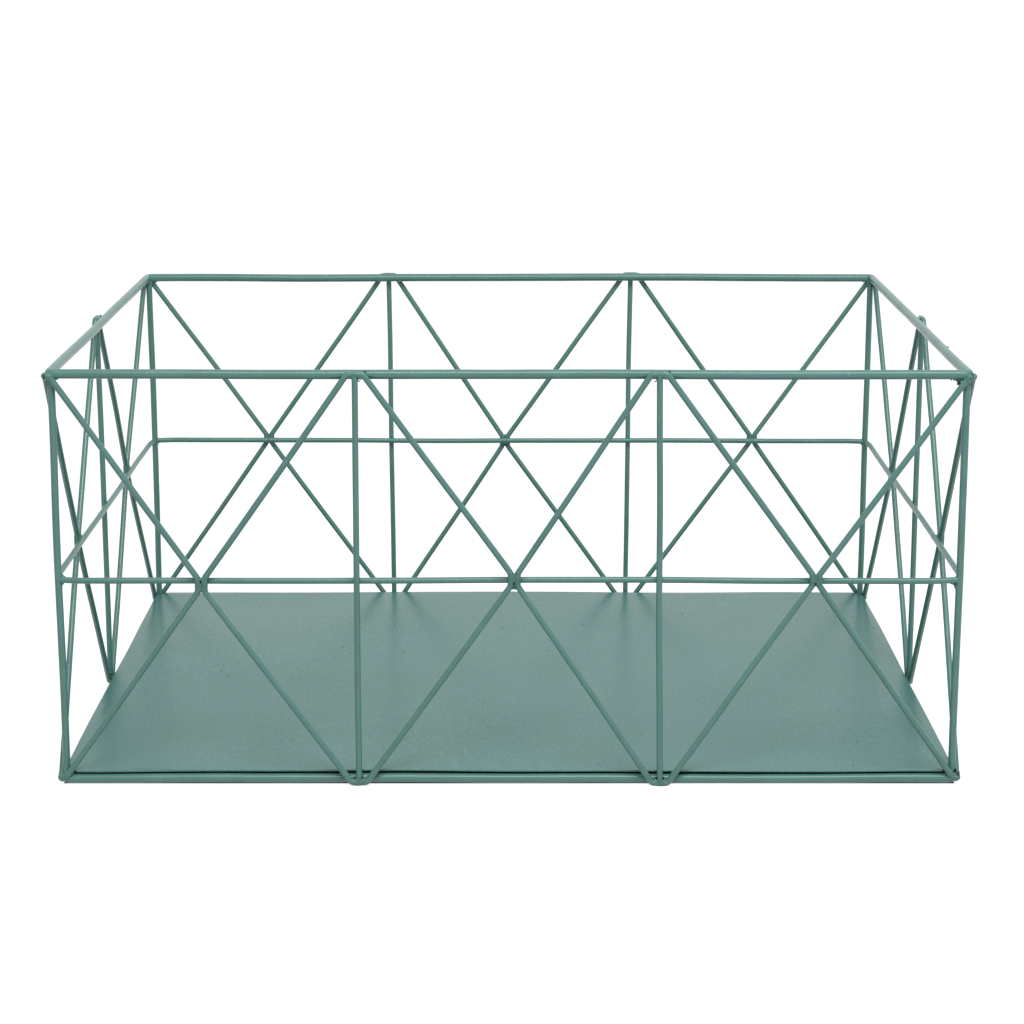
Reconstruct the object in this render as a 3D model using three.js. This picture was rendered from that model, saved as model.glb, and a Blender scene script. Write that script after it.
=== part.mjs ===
// Rectangular storage basket of welded and painted steel wire, with a sheet floor and an open top.
// Millimetres, +Z up, the front wall faces -Y, and the basket stands on z = 0.
// Each wire is its own mesh, and a small gap stands for every weld between two wires.
import * as THREE from "three";

// Size over the outermost wires
const width = 400;
const depth = 270;
const height = 185;

// Wire diameters
const hoopWire = 4;
const postWire = 3;
const railWire = 2.5;
const uprightWire = 2.5;
const loopWire = 2.5;

// Sheet floor, which lies on the bottom hoop
const sheetThickness = 0.8;
const sheetOverhang = 0.5;
const sheetPostClearance = 0.6;

// Inside radii of the bends
const hoopInside = 0.5;
const loopEndInside = 1.25;
const loopSideInside = 3.75;
const cornerFoldInside = 1.75;

// Straight level wire at both ends of a loop: to each side of an upright's end, and in all on a corner
const levelBesideUpright = 0.4;
const cornerLoopLevel = 1.3;

// Spacing of the wall loops. A wall has as many as fit beside the corner loops, which take up the rest
const bayLength = 130;

// Gap left between two wires at a weld
const weldGap = 0.3;

// Fineness of the facets: sides of a wire, and the largest turn from one ring of it to the next
const wireSides = 8;
const largestTurn = THREE.MathUtils.degToRad(20);

const wirePaint = { color: 0x5d8b82, roughness: 0.42, metalness: 0 };
const sheetPaint = { color: 0x6f9890, roughness: 0.5, metalness: 0 };

// Bend radii on the centreline of each wire
const hoopBend = hoopInside + hoopWire / 2;
const loopEndBend = loopEndInside + loopWire / 2;
const loopSideBend = loopSideInside + loopWire / 2;
const cornerFold = cornerFoldInside + loopWire / 2;

// Centreline rectangle of both hoops, and how far outside it the outer wires run
const loopOut = hoopWire / 2 + weldGap + loopWire / 2;
const uprightOut = hoopWire / 2 + weldGap + uprightWire / 2;
const outerReach = hoopWire / 2 + weldGap + Math.max(loopWire, uprightWire);
const hoopWidth = width - 2 * outerReach;
const hoopDepth = depth - 2 * outerReach;
const midHeight = height / 2;

// The rails stay level with the outer side of the hoops, so that loops and uprights touch both
const railOut = (hoopWire - railWire) / 2;

// The posts stand under the middle of the rim's bends
const postInset = hoopBend * (1 - Math.SQRT1_2);

// A polygon whose flat sides, not its corners, lie at the wire's radius.
function sectionRadius(diameter) {
  return diameter / 2 / Math.cos(Math.PI / wireSides);
}

// A straight wire along Z, centred on the origin, with its flat sides square to X and Y.
function rod(diameter, length) {
  const radius = sectionRadius(diameter);
  const firstCorner = Math.PI / wireSides;
  const geometry = new THREE.CylinderGeometry(radius, radius, length, wireSides, 1, false, firstCorner);
  return geometry.rotateX(Math.PI / 2);
}

// A closed outline of bends joined by straight runs. Each bend is an arc about its centre, turning left.
function bentOutline(bends) {
  return bends.flatMap(({ centre, radius, from, to }) => {
    const steps = 2 * Math.ceil((to - from) / largestTurn / 2);
    return Array.from({ length: steps + 1 }, (_, i) => {
      const angle = from + ((to - from) * i) / steps;
      return new THREE.Vector2(Math.cos(angle), Math.sin(angle)).multiplyScalar(radius).add(centre);
    });
  });
}

// A closed wire through stations of { at, out }, where out is the way that one of the wire's flats faces.
function closedWire(stations, diameter) {
  const radius = sectionRadius(diameter);
  const count = stations.length;
  const positions = [];
  const index = [];
  stations.forEach(({ at, out }, i) => {
    const arriving = at.clone().sub(stations[(i + count - 1) % count].at).normalize();
    const leaving = stations[(i + 1) % count].at.clone().sub(at).normalize();
    const along = arriving.clone().add(leaving).normalize();
    const bendDirection = leaving.clone().sub(arriving);
    const halfTurn = Math.asin(Math.min(1, bendDirection.length() / 2));
    bendDirection.normalize();
    const outward = out.clone().addScaledVector(along, -out.dot(along)).normalize();
    const sideways = along.clone().cross(outward);
    for (let k = 0; k < wireSides; k++) {
      const angle = ((2 * k + 1) * Math.PI) / wireSides;
      const arm = outward.clone().multiplyScalar(radius * Math.cos(angle));
      arm.addScaledVector(sideways, radius * Math.sin(angle));
      arm.addScaledVector(bendDirection, arm.dot(bendDirection) * (1 / Math.cos(halfTurn) - 1));
      positions.push(...arm.add(at).toArray());
      const nextRing = ((i + 1) % count) * wireSides;
      const nextSide = (k + 1) % wireSides;
      const here = i * wireSides;
      index.push(here + k, here + nextSide, nextRing + k);
      index.push(here + nextSide, nextRing + nextSide, nextRing + k);
    }
  });
  const geometry = new THREE.BufferGeometry();
  geometry.setAttribute("position", new THREE.Float32BufferAttribute(positions, 3));
  geometry.setIndex(index);
  geometry.computeVertexNormals();
  return geometry;
}

// The rim and the bottom hoop: a rectangle with bent corners, centred on the origin.
function hoop() {
  const [x, y] = [hoopWidth / 2 - hoopBend, hoopDepth / 2 - hoopBend];
  const quarter = Math.PI / 2;
  const bends = [[x, y], [-x, y], [-x, -y], [x, -y]].map(([u, v], i) => {
    return { centre: new THREE.Vector2(u, v), radius: hoopBend, from: i * quarter, to: (i + 1) * quarter };
  });
  const up = new THREE.Vector3(0, 0, 1);
  const stations = bentOutline(bends).map((p) => ({ at: new THREE.Vector3(p.x, p.y, 0), out: up }));
  return closedWire(stations, hoopWire);
}

// How far a loop's long run leans from the vertical: it is tangent to an end bend and to a side bend.
function longRunLean(touch, level) {
  const across = touch - loopSideBend - level / 2;
  const down = (height - loopWire) / 2 - loopEndBend;
  return Math.atan2(across, down) + Math.asin((loopSideBend - loopEndBend) / Math.hypot(across, down));
}

// A loop's outline in (run along the wall, height), from its middle to the touching point on both sides.
function loopOutline(touchBefore, touchAfter, level) {
  const endHeight = loopWire / 2 + loopEndBend;
  const [low, high] = [endHeight, height - endHeight];
  const leanBefore = longRunLean(touchBefore, level);
  const leanAfter = longRunLean(touchAfter, level);
  const [up, back, down, ahead] = [1, 2, 3, 4].map((quarters) => (quarters * Math.PI) / 2);
  const bend = (run, rise, radius, from, to) => ({ centre: new THREE.Vector2(run, rise), radius, from, to });
  return bentOutline([
    bend(level / 2, high, loopEndBend, leanAfter, up),
    bend(-level / 2, high, loopEndBend, up, back - leanBefore),
    bend(loopSideBend - touchBefore, midHeight, loopSideBend, back - leanBefore, back + leanBefore),
    bend(-level / 2, low, loopEndBend, back + leanBefore, down),
    bend(level / 2, low, loopEndBend, down, ahead - leanAfter),
    bend(touchAfter - loopSideBend, midHeight, loopSideBend, ahead - leanAfter, ahead + leanAfter),
  ]);
}

// Adds a point wherever the outline crosses one of the runs, unless a point is there already.
function splitAtRuns(outline, runs) {
  const shortest = loopWire / 20;
  return outline.flatMap((from, i) => {
    const to = outline[(i + 1) % outline.length];
    const shares = runs.map((run) => (run - from.x) / (to.x - from.x));
    const inside = shares.filter((share) => share > 0 && share < 1).sort((a, b) => a - b);
    const added = inside.map((share) => from.clone().lerp(to, share));
    return [from, ...added.filter((p) => p.distanceTo(from) > shortest && p.distanceTo(to) > shortest)];
  });
}

// A flat loop in the XZ plane, for a wall whose outer side faces -Y.
function wallLoop() {
  const touch = (bayLength - loopWire - weldGap) / 2;
  const out = new THREE.Vector3(0, -1, 0);
  const outline = loopOutline(touch, touch, uprightWire + 2 * levelBesideUpright);
  return closedWire(outline.map((p) => ({ at: new THREE.Vector3(p.x, 0, p.y), out })), loopWire);
}

// A loop folded round a corner: it comes along +X on a wall facing -Y and leaves along +Y on one facing +X.
function cornerLoop(reachBefore, reachAfter) {
  const halfFold = (cornerFold * Math.PI) / 4;
  const foldToTouch = loopOut - cornerFold - (loopWire + weldGap) / 2;
  const touchBefore = halfFold + reachBefore + foldToTouch;
  const touchAfter = halfFold + reachAfter + foldToTouch;
  const outline = loopOutline(touchBefore, touchAfter, cornerLoopLevel);
  const foldSteps = 2 * Math.ceil(Math.PI / 4 / largestTurn);
  const runs = Array.from({ length: foldSteps + 1 }, (_, i) => halfFold * ((2 * i) / foldSteps - 1));
  const stations = splitAtRuns(outline, runs).map(({ x: run, y: rise }) => {
    const onFold = THREE.MathUtils.clamp(run, -halfFold, halfFold);
    const facing = onFold / cornerFold - Math.PI / 4;
    const out = new THREE.Vector3(Math.cos(facing), Math.sin(facing), 0);
    const ahead = new THREE.Vector3(-out.y, out.x, 0);
    const at = out.clone().multiplyScalar(cornerFold).addScaledVector(ahead, run - onFold).setZ(rise);
    return { at, out };
  });
  return closedWire(stations, loopWire);
}

// The sheet floor, with each corner cut off far enough to pass the post.
function floorSheet() {
  const [x, y] = [hoopWidth / 2 + sheetOverhang, hoopDepth / 2 + sheetOverhang];
  const cornerToPost = Math.SQRT2 * (sheetOverhang + postInset);
  const cut = Math.SQRT2 * (cornerToPost + sectionRadius(postWire) + sheetPostClearance);
  const shape = new THREE.Shape([
    new THREE.Vector2(-x + cut, -y),
    new THREE.Vector2(x - cut, -y),
    new THREE.Vector2(x, -y + cut),
    new THREE.Vector2(x, y - cut),
    new THREE.Vector2(x - cut, y),
    new THREE.Vector2(-x + cut, y),
    new THREE.Vector2(-x, y - cut),
    new THREE.Vector2(-x, -y + cut),
  ]);
  return new THREE.ExtrudeGeometry(shape, { depth: sheetThickness, bevelEnabled: false });
}

// A named piece in its own paint, placed in its group.
function place(group, name, geometry, [x, y, z], paint = wirePaint) {
  const mesh = new THREE.Mesh(geometry, new THREE.MeshStandardMaterial(paint));
  mesh.name = name;
  mesh.position.set(x, y, z);
  group.add(mesh);
  return mesh;
}

// How many loops a wall has between its corner loops.
function wallLoops(hoopLength) {
  return Math.round(hoopLength / bayLength) - 1;
}

// How far a corner loop reaches along a wall, from the hoop's sharp corner to the first crossing.
function cornerReach(hoopLength) {
  return (hoopLength - wallLoops(hoopLength) * bayLength) / 2;
}

// One wall seen from outside: its middle is at the group's origin on the hoop's centreline, and it faces -Y.
function wall(name, hoopLength) {
  const group = new THREE.Group();
  const count = wallLoops(hoopLength);
  const railLength = hoopLength - 2 * (postInset + postWire / 2 + weldGap);
  const rail = place(group, `${name}_rail`, rod(railWire, railLength), [0, -railOut, midHeight]);
  rail.rotation.y = Math.PI / 2;
  const uprightLength = height - 2 * (loopWire + weldGap);
  for (let i = 1; i <= count; i++) {
    const x = (i - (count + 1) / 2) * bayLength;
    place(group, `${name}_upright_${i}`, rod(uprightWire, uprightLength), [x, -uprightOut, midHeight]);
    place(group, `${name}_loop_${i}`, wallLoop(), [x, -loopOut, 0]);
  }
  return group;
}

// One vertical corner: its post, and the loop folded round it. The group's origin is the hoop's sharp corner.
function corner(name, reachBefore, reachAfter) {
  const group = new THREE.Group();
  const postLength = height - 2 * (hoopWire + weldGap);
  const foldCentre = loopOut - cornerFold;
  place(group, `${name}_post`, rod(postWire, postLength), [-postInset, postInset, midHeight]);
  place(group, `${name}_corner_loop`, cornerLoop(reachBefore, reachAfter), [foldCentre, -foldCentre, 0]);
  return group;
}

const basket = new THREE.Group();
place(basket, "top_rim", hoop(), [0, 0, height - hoopWire / 2]);
place(basket, "bottom_hoop", hoop(), [0, 0, hoopWire / 2]);
place(basket, "floor_panel", floorSheet(), [0, 0, hoopWire + weldGap], sheetPaint);

// The four walls in turn from the front, each with the corner at its far end
const sides = [
  { wallName: "front", cornerName: "front_right", length: hoopWidth },
  { wallName: "right", cornerName: "back_right", length: hoopDepth },
  { wallName: "back", cornerName: "back_left", length: hoopWidth },
  { wallName: "left", cornerName: "front_left", length: hoopDepth },
];
sides.forEach(({ wallName, cornerName, length }, i) => {
  const next = sides[(i + 1) % sides.length];
  const side = new THREE.Group();
  const wallGroup = wall(wallName, length);
  const cornerGroup = corner(cornerName, cornerReach(length), cornerReach(next.length));
  wallGroup.position.y = -next.length / 2;
  cornerGroup.position.set(length / 2, -next.length / 2, 0);
  side.rotation.z = (i * Math.PI) / 2;
  side.add(wallGroup, cornerGroup);
  basket.add(side);
});

export default basket;
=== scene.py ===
"""Looks of a rectangular wire basket: painted wires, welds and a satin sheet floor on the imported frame."""

import logging
import math
import random
from dataclasses import dataclass, field
from enum import Enum

import bpy
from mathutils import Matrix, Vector, noise


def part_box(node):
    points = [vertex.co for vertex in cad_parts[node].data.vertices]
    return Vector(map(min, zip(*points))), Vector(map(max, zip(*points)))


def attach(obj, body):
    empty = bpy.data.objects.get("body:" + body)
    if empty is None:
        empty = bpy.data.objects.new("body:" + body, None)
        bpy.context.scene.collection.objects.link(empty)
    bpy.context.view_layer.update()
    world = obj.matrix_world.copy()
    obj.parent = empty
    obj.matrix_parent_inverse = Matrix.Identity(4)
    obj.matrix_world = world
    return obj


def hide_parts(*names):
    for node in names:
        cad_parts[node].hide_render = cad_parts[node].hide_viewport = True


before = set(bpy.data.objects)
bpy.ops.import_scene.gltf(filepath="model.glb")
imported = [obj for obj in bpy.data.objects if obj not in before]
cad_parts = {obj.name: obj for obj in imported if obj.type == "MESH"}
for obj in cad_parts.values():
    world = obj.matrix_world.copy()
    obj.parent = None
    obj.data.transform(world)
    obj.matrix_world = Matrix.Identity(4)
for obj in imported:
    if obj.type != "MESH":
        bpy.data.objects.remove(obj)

log = logging.getLogger("basket")

BODY = "root"
MM = 0.001
UP = math.pi / 2
BACK = math.pi
DOWN = 3 * math.pi / 2
AHEAD = 2 * math.pi
BEND_TURN = math.radians(9)
# Marks the gas holes; the weld paint colours them near-black, which is painted shade inside the pores
RADIUS_ATTRIBUTE = "wire_radius"
HOLE_SHADE_ATTRIBUTE = "gas_hole_shade"

# A wire with a larger radius than this is a hoop's
HOOP_FROM = 1.8 * MM

# How far apart the marks of a gas hole are, in millimetres
BORE_STEP = 0.5

# Numbers of a colour Mix node's sockets, whose names also stand for other kinds of value
MIX_SHARE = 0
MIX_FIRST = 6
MIX_SECOND = 7
MIX_RESULT = 2

SocketValue = object
NodeInputs = dict[str | int, SocketValue]
Range = tuple[float, float]
Spot = tuple[float, float]
Place = tuple[float, float, float]


class Slot(Enum):
    """The two paint slots."""

    WIRE = "wire_paint"
    SHEET = "sheet_paint"


class Wall(Enum):
    """A wall of the basket: its name, the direction that it runs in and the direction that it faces."""

    FRONT = ("front", (1, 0, 0), (0, -1, 0))
    RIGHT = ("right", (0, 1, 0), (1, 0, 0))
    BACK = ("back", (-1, 0, 0), (0, 1, 0))
    LEFT = ("left", (0, -1, 0), (-1, 0, 0))

    @property
    def label(self) -> str:
        """The wall's word in the node names."""
        return self.value[0]

    @property
    def ahead(self) -> Vector:
        """The direction along the wall, counterclockwise round the basket."""
        return Vector(self.value[1])

    @property
    def out(self) -> Vector:
        """The direction away from the basket."""
        return Vector(self.value[2])


class Corner(Enum):
    """A vertical corner: its name, its quarter turns from the front right one, and its signs in x and y."""

    FRONT_RIGHT = ("front_right", 0, 1, -1)
    BACK_RIGHT = ("back_right", 1, 1, 1)
    BACK_LEFT = ("back_left", 2, -1, 1)
    FRONT_LEFT = ("front_left", 3, -1, -1)

    @property
    def label(self) -> str:
        """The corner's words in the node names."""
        return self.value[0]

    @property
    def quarter_turns(self) -> int:
        """Quarter turns about the vertical from the front right corner."""
        return self.value[1]

    @property
    def signs(self) -> Vector:
        """The signs of the corner's place along x and y."""
        return Vector((self.value[2], self.value[3], 0))


# Walls and corners go counterclockwise, and the first corner ends the first wall.
CORNER_AFTER = dict(zip(Wall, Corner))
CORNER_BEFORE = dict(zip(Wall, (Corner.FRONT_LEFT, *Corner)))
WALL_BEFORE = {corner: wall for wall, corner in CORNER_AFTER.items()}
WALL_AFTER = {corner: wall for wall, corner in CORNER_BEFORE.items()}


@dataclass(frozen=True)
class Crossing:
    """How two loops meet: how far off the even place along the wall and in height, and how long they touch.

    A gas hole is left above or below the touch, and a stray bar may bridge the loops at some height.
    """

    along: float
    rise: float
    touch: float
    hole_side: int
    bar: float = 0.0


# The loops are bent by hand, so no two crossings are alike.
CROSSINGS = {
    Wall.FRONT: (Crossing(-2.6 * MM, -1.1 * MM, 3.2 * MM, 1),
                 Crossing(2.2 * MM, 0.9 * MM, 2.6 * MM, -1, bar=-3.9 * MM),
                 Crossing(2.0 * MM, 1.2 * MM, 2.8 * MM, -1)),
    Wall.RIGHT: (Crossing(0.3 * MM, -0.6 * MM, 3.0 * MM, 1), Crossing(-0.4 * MM, 0.5 * MM, 2.2 * MM, -1)),
    Wall.BACK: (Crossing(-3.0 * MM, 0.5 * MM, 2.4 * MM, -1),
                Crossing(2.6 * MM, -0.9 * MM, 3.4 * MM, 1, bar=3.6 * MM),
                Crossing(2.2 * MM, 0.3 * MM, 2.6 * MM, 1)),
    Wall.LEFT: (Crossing(-0.3 * MM, 0.4 * MM, 2.4 * MM, 1), Crossing(0.5 * MM, -0.5 * MM, 3.2 * MM, -1)),
}

# How far the low and the high end of each upright and its loop are off their even place along the wall.
END_SHIFT = {
    Wall.FRONT: ((-0.8 * MM, -0.4 * MM), (0.9 * MM, -1.3 * MM)),
    Wall.RIGHT: ((0.4 * MM, -0.5 * MM),),
    Wall.BACK: ((0.6 * MM, -0.4 * MM), (-0.5 * MM, 0.6 * MM)),
    Wall.LEFT: ((-0.4 * MM, 0.5 * MM),),
}


def linear_colour(tone: int) -> tuple[float, float, float, float]:
    """Turns a written colour into the linear one that a shader takes.

    Args:
        tone: the colour as 0xRRGGBB.

    Returns:
        Red, green, blue and a full alpha.
    """
    shares = [((tone >> shift) & 255) / 255 for shift in (16, 8, 0)]
    red, green, blue = [s / 12.92 if s <= 0.04045 else ((s + 0.055) / 1.055) ** 2.4 for s in shares]
    return red, green, blue, 1.0


@dataclass(frozen=True)
class NodeBox:
    """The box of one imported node, in metres."""

    low: Vector
    high: Vector

    @classmethod
    def of(cls, node: str) -> "NodeBox":
        """The box of the node with this name."""
        return cls(*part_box(node))

    @property
    def centre(self) -> Vector:
        """The middle of the box."""
        return (self.low + self.high) / 2

    @property
    def size(self) -> Vector:
        """The box's three lengths."""
        return self.high - self.low

    def reach(self, direction: Vector) -> tuple[float, float]:
        """Measures the box along a direction.

        Args:
            direction: a unit vector along one of the axes.

        Returns:
            The least and the greatest place along it.
        """
        ends = sorted((self.low.dot(direction), self.high.dot(direction)))
        return ends[0], ends[1]


class Wiring:
    """Places nodes in one node tree, sets their inputs and links them."""

    def __init__(self, tree: bpy.types.NodeTree) -> None:
        """Takes the tree that the nodes go into."""
        self.tree = tree

    @classmethod
    def group(cls, name: str, kind: str, inputs: dict[str, tuple[str, SocketValue]],
              outputs: dict[str, str]) -> "Wiring":
        """Starts a node group with named sockets.

        Args:
            name: the group's name.
            kind: GeometryNodeTree or ShaderNodeTree.
            inputs: for each input its socket type and its default, or None for no default.
            outputs: for each output its socket type.

        Returns:
            The wiring of the new group, with its input and output nodes in place.
        """
        wiring = cls(bpy.data.node_groups.new(name, kind))
        interface = wiring.tree.interface
        for label, (socket_type, default) in inputs.items():
            socket = interface.new_socket(name=label, in_out="INPUT", socket_type=socket_type)
            if default is not None:
                socket.default_value = default
        for label, socket_type in outputs.items():
            interface.new_socket(name=label, in_out="OUTPUT", socket_type=socket_type)
        wiring.start = wiring.put("NodeGroupInput")
        wiring.end = wiring.put("NodeGroupOutput")
        return wiring

    @classmethod
    def shaping(cls, name: str, sizes: dict[str, float | int]) -> "Wiring":
        """Starts a geometry node group that takes a mesh, some sizes and a material, and gives a mesh.

        Args:
            name: the group's name.
            sizes: the default of each size, whole where the size is a count.

        Returns:
            The wiring of the new group.
        """
        inputs: dict[str, tuple[str, SocketValue]] = {"Geometry": ("NodeSocketGeometry", None)}
        for label, default in sizes.items():
            inputs[label] = ("NodeSocketInt" if isinstance(default, int) else "NodeSocketFloat", default)
        inputs["Material"] = ("NodeSocketMaterial", None)
        return cls.group(name, "GeometryNodeTree", inputs, {"Geometry": "NodeSocketGeometry"})

    def put(self, kind: str, inputs: NodeInputs | None = None, **options: object) -> bpy.types.Node:
        """Places one node.

        Args:
            kind: the node's type.
            inputs: a value or a socket for each input, by name or by number.
            options: settings of the node itself.

        Returns:
            The node.
        """
        node = self.tree.nodes.new(kind)
        for label, value in options.items():
            setattr(node, label, value)
        for key, value in (inputs or {}).items():
            self.feed(node.inputs[key], value)
        return node

    def feed(self, socket: bpy.types.NodeSocket, value: SocketValue) -> None:
        """Links a socket to another one, or sets its value.

        Args:
            socket: the input.
            value: the output that feeds it, or a plain value.
        """
        if isinstance(value, bpy.types.NodeSocket):
            self.tree.links.new(value, socket)
        else:
            socket.default_value = value

    def given(self, label: str) -> bpy.types.NodeSocket:
        """The group's own input of this name."""
        return self.start.outputs[label]

    def give(self, label: str, value: SocketValue) -> None:
        """Feeds the group's own output of this name."""
        self.feed(self.end.inputs[label], value)

    def maths(self, operation: str, first: SocketValue, second: SocketValue = 0.0,
              clamp: bool = False) -> bpy.types.NodeSocket:
        """Places a Math node.

        Args:
            operation: its operation.
            first: its first number.
            second: its second number.
            clamp: whether the result is kept from 0 to 1.

        Returns:
            The result's socket.
        """
        node = self.put("ShaderNodeMath", {0: first, 1: second}, operation=operation, use_clamp=clamp)
        return node.outputs[0]

    def vectors(self, operation: str, first: SocketValue, second: SocketValue) -> bpy.types.NodeSocket:
        """Places a Vector Math node.

        Args:
            operation: its operation.
            first: its first vector.
            second: its second vector, or the factor where the operation is SCALE.

        Returns:
            The result's socket.
        """
        key = "Scale" if operation == "SCALE" else 1
        node = self.put("ShaderNodeVectorMath", {0: first, key: second}, operation=operation)
        return node.outputs[0]

    def blended(self, share: SocketValue, first: SocketValue, second: SocketValue) -> bpy.types.NodeSocket:
        """Places a colour Mix node.

        Args:
            share: how much of the second colour shows.
            first: the first colour.
            second: the second colour.

        Returns:
            The mixed colour's socket.
        """
        sockets = {MIX_SHARE: share, MIX_FIRST: first, MIX_SECOND: second}
        return self.put("ShaderNodeMix", sockets, data_type="RGBA").outputs[MIX_RESULT]

    def ranged(self, value: SocketValue, source: Range,
               target: tuple[SocketValue, SocketValue]) -> bpy.types.NodeSocket:
        """Places a Map Range node.

        Args:
            value: the number to map.
            source: the range that it comes in.
            target: the range that it leaves in.

        Returns:
            The result's socket.
        """
        sockets = dict(enumerate((value, *source, *target)))
        return self.put("ShaderNodeMapRange", sockets).outputs[0]

    def about_middle(self, value: SocketValue, strength: SocketValue) -> bpy.types.NodeSocket:
        """Scales how far a noise from 0 to 1 is off its middle."""
        return self.maths("MULTIPLY", self.maths("SUBTRACT", value, 0.5), strength)

    def tube(self, curve: SocketValue, sides: SocketValue, radius: SocketValue) -> bpy.types.NodeSocket:
        """Sweeps a round profile along a curve, with closed ends.

        Args:
            curve: the curve.
            sides: how many sides the profile has.
            radius: its radius.

        Returns:
            The swept mesh's socket.
        """
        profile = self.put("GeometryNodeCurvePrimitiveCircle", {"Resolution": sides, "Radius": 1.0})
        swept = self.put("GeometryNodeCurveToMesh", {
            "Curve": curve, "Profile Curve": profile.outputs[0], "Scale": radius, "Fill Caps": True})
        return swept.outputs[0]

    def finish(self, geometry: SocketValue) -> bpy.types.NodeTree:
        """Ends a geometry node group: smooth, with real geometry, in the group's own material.

        Args:
            geometry: what the group has made.

        Returns:
            The finished tree.
        """
        smooth = self.put("GeometryNodeSetShadeSmooth", {"Geometry": geometry})
        whole = self.put("GeometryNodeRealizeInstances", {"Geometry": smooth.outputs[0]})
        painted = self.put("GeometryNodeSetMaterial", {
            "Geometry": whole.outputs[0], "Material": self.given("Material")})
        self.give("Geometry", painted.outputs[0])
        return self.tree


class PaintGroups:
    """The shader node groups that the paints share."""

    CLOUD_DETAIL = 4.0
    CLOUD_ROUGHNESS = 0.55
    PEEL_DETAIL = 2.0
    PEEL_ROUGHNESS = 0.45
    GLOSS_DETAIL = 1.0
    GLOSS_TO_CLOUD = 0.8
    GLOSS_NOISE = (0.3, 0.7)
    SPECK_EDGE = (0.55, 1.0)

    def __init__(self) -> None:
        """Builds both groups once."""
        self.skin = self.skin_group()
        self.specks = self.speck_group()

    def skin_group(self) -> bpy.types.NodeTree:
        """Builds the group for sprayed paint: clouded tone, uneven gloss and a fine orange peel.

        Returns:
            The node group.
        """
        wiring = Wiring.group(
            "paint_skin", "ShaderNodeTree",
            {"Place": ("NodeSocketVector", None), "Tone": ("NodeSocketColor", None),
             "Deep Tone": ("NodeSocketColor", None), "Cloud Scale": ("NodeSocketFloat", 60.0),
             "Clouding": ("NodeSocketFloat", 2.0), "Peel Scale": ("NodeSocketFloat", 900.0),
             "Grain": ("NodeSocketFloat", 0.2),
             "Smoothest": ("NodeSocketFloat", 0.3), "Roughest": ("NodeSocketFloat", 0.45)},
            {"Colour": "NodeSocketColor", "Roughness": "NodeSocketFloat", "Height": "NodeSocketFloat"})
        place = wiring.given("Place")
        cloud = wiring.put("ShaderNodeTexNoise", {
            "Vector": place, "Scale": wiring.given("Cloud Scale"), "Detail": self.CLOUD_DETAIL,
            "Roughness": self.CLOUD_ROUGHNESS})
        peel = wiring.put("ShaderNodeTexNoise", {
            "Vector": place, "Scale": wiring.given("Peel Scale"), "Detail": self.PEEL_DETAIL,
            "Roughness": self.PEEL_ROUGHNESS})
        wiring.give("Height", peel.outputs["Fac"])
        clouded = wiring.about_middle(cloud.outputs["Fac"], wiring.given("Clouding"))
        grained = wiring.about_middle(peel.outputs["Fac"], wiring.given("Grain"))
        share = wiring.maths("ADD", wiring.maths("ADD", clouded, grained), 0.5, clamp=True)
        wiring.give("Colour", wiring.blended(share, wiring.given("Deep Tone"), wiring.given("Tone")))
        gloss_scale = wiring.maths("MULTIPLY", wiring.given("Cloud Scale"), self.GLOSS_TO_CLOUD)
        gloss = wiring.put("ShaderNodeTexNoise", {
            "Vector": place, "Scale": gloss_scale, "Detail": self.GLOSS_DETAIL})
        span = (wiring.given("Smoothest"), wiring.given("Roughest"))
        wiring.give("Roughness", wiring.ranged(gloss.outputs["Fac"], self.GLOSS_NOISE, span))
        return wiring.tree

    def speck_group(self) -> bpy.types.NodeTree:
        """Builds the group for pinholes and grains in the paint, as a dark mask of painted pinhole shade and
        a pale mask.

        Returns:
            The node group.
        """
        wiring = Wiring.group(
            "paint_specks", "ShaderNodeTree",
            {"Place": ("NodeSocketVector", None), "Scale": ("NodeSocketFloat", 90.0),
             "Size": ("NodeSocketFloat", 0.05), "Pale Share": ("NodeSocketFloat", 0.35)},
            {"Dark": "NodeSocketFloat", "Pale": "NodeSocketFloat"})
        cells = wiring.put("ShaderNodeTexVoronoi", {"Vector": wiring.given("Place"),
                                                    "Scale": wiring.given("Scale")})
        spread = wiring.maths("DIVIDE", cells.outputs["Distance"], wiring.given("Size"))
        spot = wiring.ranged(spread, self.SPECK_EDGE, (1.0, 0.0))
        chance = wiring.put("ShaderNodeSeparateColor", {"Color": cells.outputs["Color"]}).outputs[0]
        pale = wiring.maths("LESS_THAN", chance, wiring.given("Pale Share"))
        wiring.give("Pale", wiring.maths("MULTIPLY", spot, pale))
        wiring.give("Dark", wiring.maths("MULTIPLY", spot, wiring.maths("SUBTRACT", 1.0, pale)))
        return wiring.tree


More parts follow.
